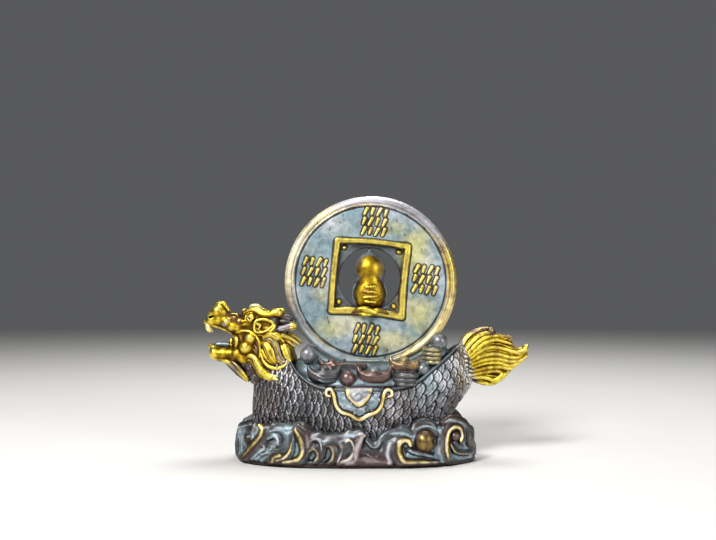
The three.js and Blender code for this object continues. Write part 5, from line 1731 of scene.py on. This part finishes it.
def patina():
    material = bpy.data.materials.new("patinated_brass")
    n = Nodes(material)
    broad, middling, fine = n.noise(9, 3), n.noise(2.4, 5, 0.65), n.noise(0.5, 3, 0.7)

    def worn(name, amount, low, high):
        """A mark with ragged edges."""
        ragged = n.math("MULTIPLY_ADD", middling, amount, n.math("ADD", n.mark(name), -0.5 * amount))
        return n.fade(ragged, low, high)

    gold = worn("gold", 0.42, 0.16, 0.72)
    blue, warm, green, pale = (worn(name, 0.5, 0.1, 1.0) for name in ("blue", "warm", "green", "pale"))
    edge = n.mark("edge")
    # hollow sets painted shade, and proud a painted highlight.
    hollow = n.fade(edge, 0.0, -0.8)
    proud = n.fade(edge, 0.4, 1.0)

    # Wear, patina and bloom lie over bare metal.
    colour = n.mix(broad, *BARE)
    for mark, colours in ((warm, COPPERY), (blue, BLUE_GREY), (green, YELLOW_GREEN)):
        colour = n.mix(mark, colour, n.mix(middling, *colours))
    # The gilding is stained, and browned with painted shade where it doesn't stand proud.
    bright = n.mix(n.fade(broad, 0.3, 0.65), *GILDING)
    stained = n.mix(n.fade(middling, 0.56, 0.34), bright, GILDING_STAIN)
    shade = n.math("MULTIPLY", n.fade(edge, 0.6, -0.25), 0.88)
    colour = n.mix(gold, colour, n.mix(shade, stained, GILDING_SHADE))
    # Edges wear and get a painted highlight, pale bloom and painted highlights lie over all that, and the
    # depths get dark patina and painted shade.
    lift = n.math("MULTIPLY", proud, n.math("MULTIPLY_ADD", gold, 0.2, 0.2))
    colour = n.mix(lift, colour, n.mix(gold, *RUBBED_AND_HIGHLIGHT))
    colour = n.mix(n.math("MULTIPLY", pale, 0.85), colour, n.mix(gold, *PALE_BLOOM_AND_HIGHLIGHT))
    colour = n.mix(n.math("MULTIPLY", hollow, 0.93), colour, n.mix(gold, *DEPTHS))
    n.wire(n.shader.inputs["Base Color"], colour)

    metal = n.math("MULTIPLY_ADD", blue, -0.3, n.math("MULTIPLY_ADD", pale, -0.4, 0.8))
    n.wire(n.shader.inputs["Metallic"], n.math("MULTIPLY_ADD", gold, 0.15, metal, clamp=True))
    dull = n.math("MULTIPLY_ADD", fine, 0.2, 0.28)
    dull = n.math("MULTIPLY_ADD", blue, 0.14, dull)
    dull = n.math("MULTIPLY_ADD", hollow, 0.2, dull)
    n.wire(n.shader.inputs["Roughness"], n.math("MULTIPLY_ADD", gold, 0.03, dull, clamp=True))

    grain = n.tree.nodes.new("ShaderNodeBump")
    grain.inputs["Strength"].default_value = 0.5
    grain.inputs["Distance"].default_value = 0.12 * MM
    n.wire(grain.inputs["Height"], n.math("MULTIPLY_ADD", fine, 0.6, middling))
    n.wire(n.shader.inputs["Normal"], grain.outputs["Normal"])
    return material


# The room: a pale floor, a camera like the photograph's and soft lights.


def floor():
    half = 1.6
    mesh = bpy.data.meshes.new("floor")
    corners = [(-half, -half, 0), (half, -half, 0), (half, half, 0), (-half, half, 0)]
    mesh.from_pydata(corners, [], [(0, 1, 2, 3)])
    made = bpy.data.objects.new("floor", mesh)
    bpy.context.collection.objects.link(made)
    material = bpy.data.materials.new("pale_floor")
    n = Nodes(material)
    n.wire(n.shader.inputs["Base Color"], n.mix(n.noise(60, 2), (0.60, 0.59, 0.57), (0.64, 0.63, 0.61)))
    n.shader.inputs["Roughness"].default_value = 0.8
    mesh.materials.append(material)


# The lights: name, place in metres, size and watts. All of them are aimed at the ornament's middle.
LIGHTS = [
    ("key", (-0.38, -0.6, 0.62), 0.3, 11),
    ("fill", (0.7, -0.65, 0.3), 0.4, 4),
    ("top", (0.1, 0.2, 0.8), 0.4, 5),
]
AIM = np.array([0, 0, 0.055])
# The world's colour and strength.
SURROUNDINGS = (0.62, 0.63, 0.65, 1), 0.16
# The camera, from the photograph: its place in millimetres, and the rest in pixels of that frame.
CAMERA = {"place": (-3.9, -330, 66.2), "focal": 760, "width": 716, "height": 540, "horizon": 303}


def lights():
    for name, place, size, watts in LIGHTS:
        data = bpy.data.lights.new(name, "AREA")
        data.shape, data.size, data.energy = "DISK", size, watts
        lamp = bpy.data.objects.new(name, data)
        lamp.location = place
        x, y, z = np.array(place) - AIM
        lamp.rotation_euler = (math.atan2(math.hypot(x, y), z), 0, math.atan2(x, -y))
        bpy.context.collection.objects.link(lamp)
    world = bpy.data.worlds.new("studio")
    world.use_nodes = True
    background = world.node_tree.nodes["Background"]
    background.inputs["Color"].default_value, background.inputs["Strength"].default_value = SURROUNDINGS
    bpy.context.scene.world = world


def camera():
    data = bpy.data.cameras.new("camera")
    data.sensor_width = 36
    data.lens = CAMERA["focal"] / CAMERA["width"] * data.sensor_width
    made = bpy.data.objects.new("camera", data)
    made.location = [v * MM for v in CAMERA["place"]]
    pitch = math.atan((CAMERA["horizon"] - CAMERA["height"] / 2) / CAMERA["focal"])
    made.rotation_euler = (math.pi / 2 + pitch, 0, 0)
    bpy.context.collection.objects.link(made)
    bpy.context.scene.camera = made
    bpy.context.scene.view_settings.view_transform = "Standard"


lights()
camera()
floor()
brass = patina()
waves(brass)
hull(brass)
emblems(brass)
coin_half("coin_front", -1, 700, 0.27, brass)
coin_half("coin_back", 1, 480, 0.36, brass)
gourd(brass)
treasure(brass)
head(brass)
tail(brass)
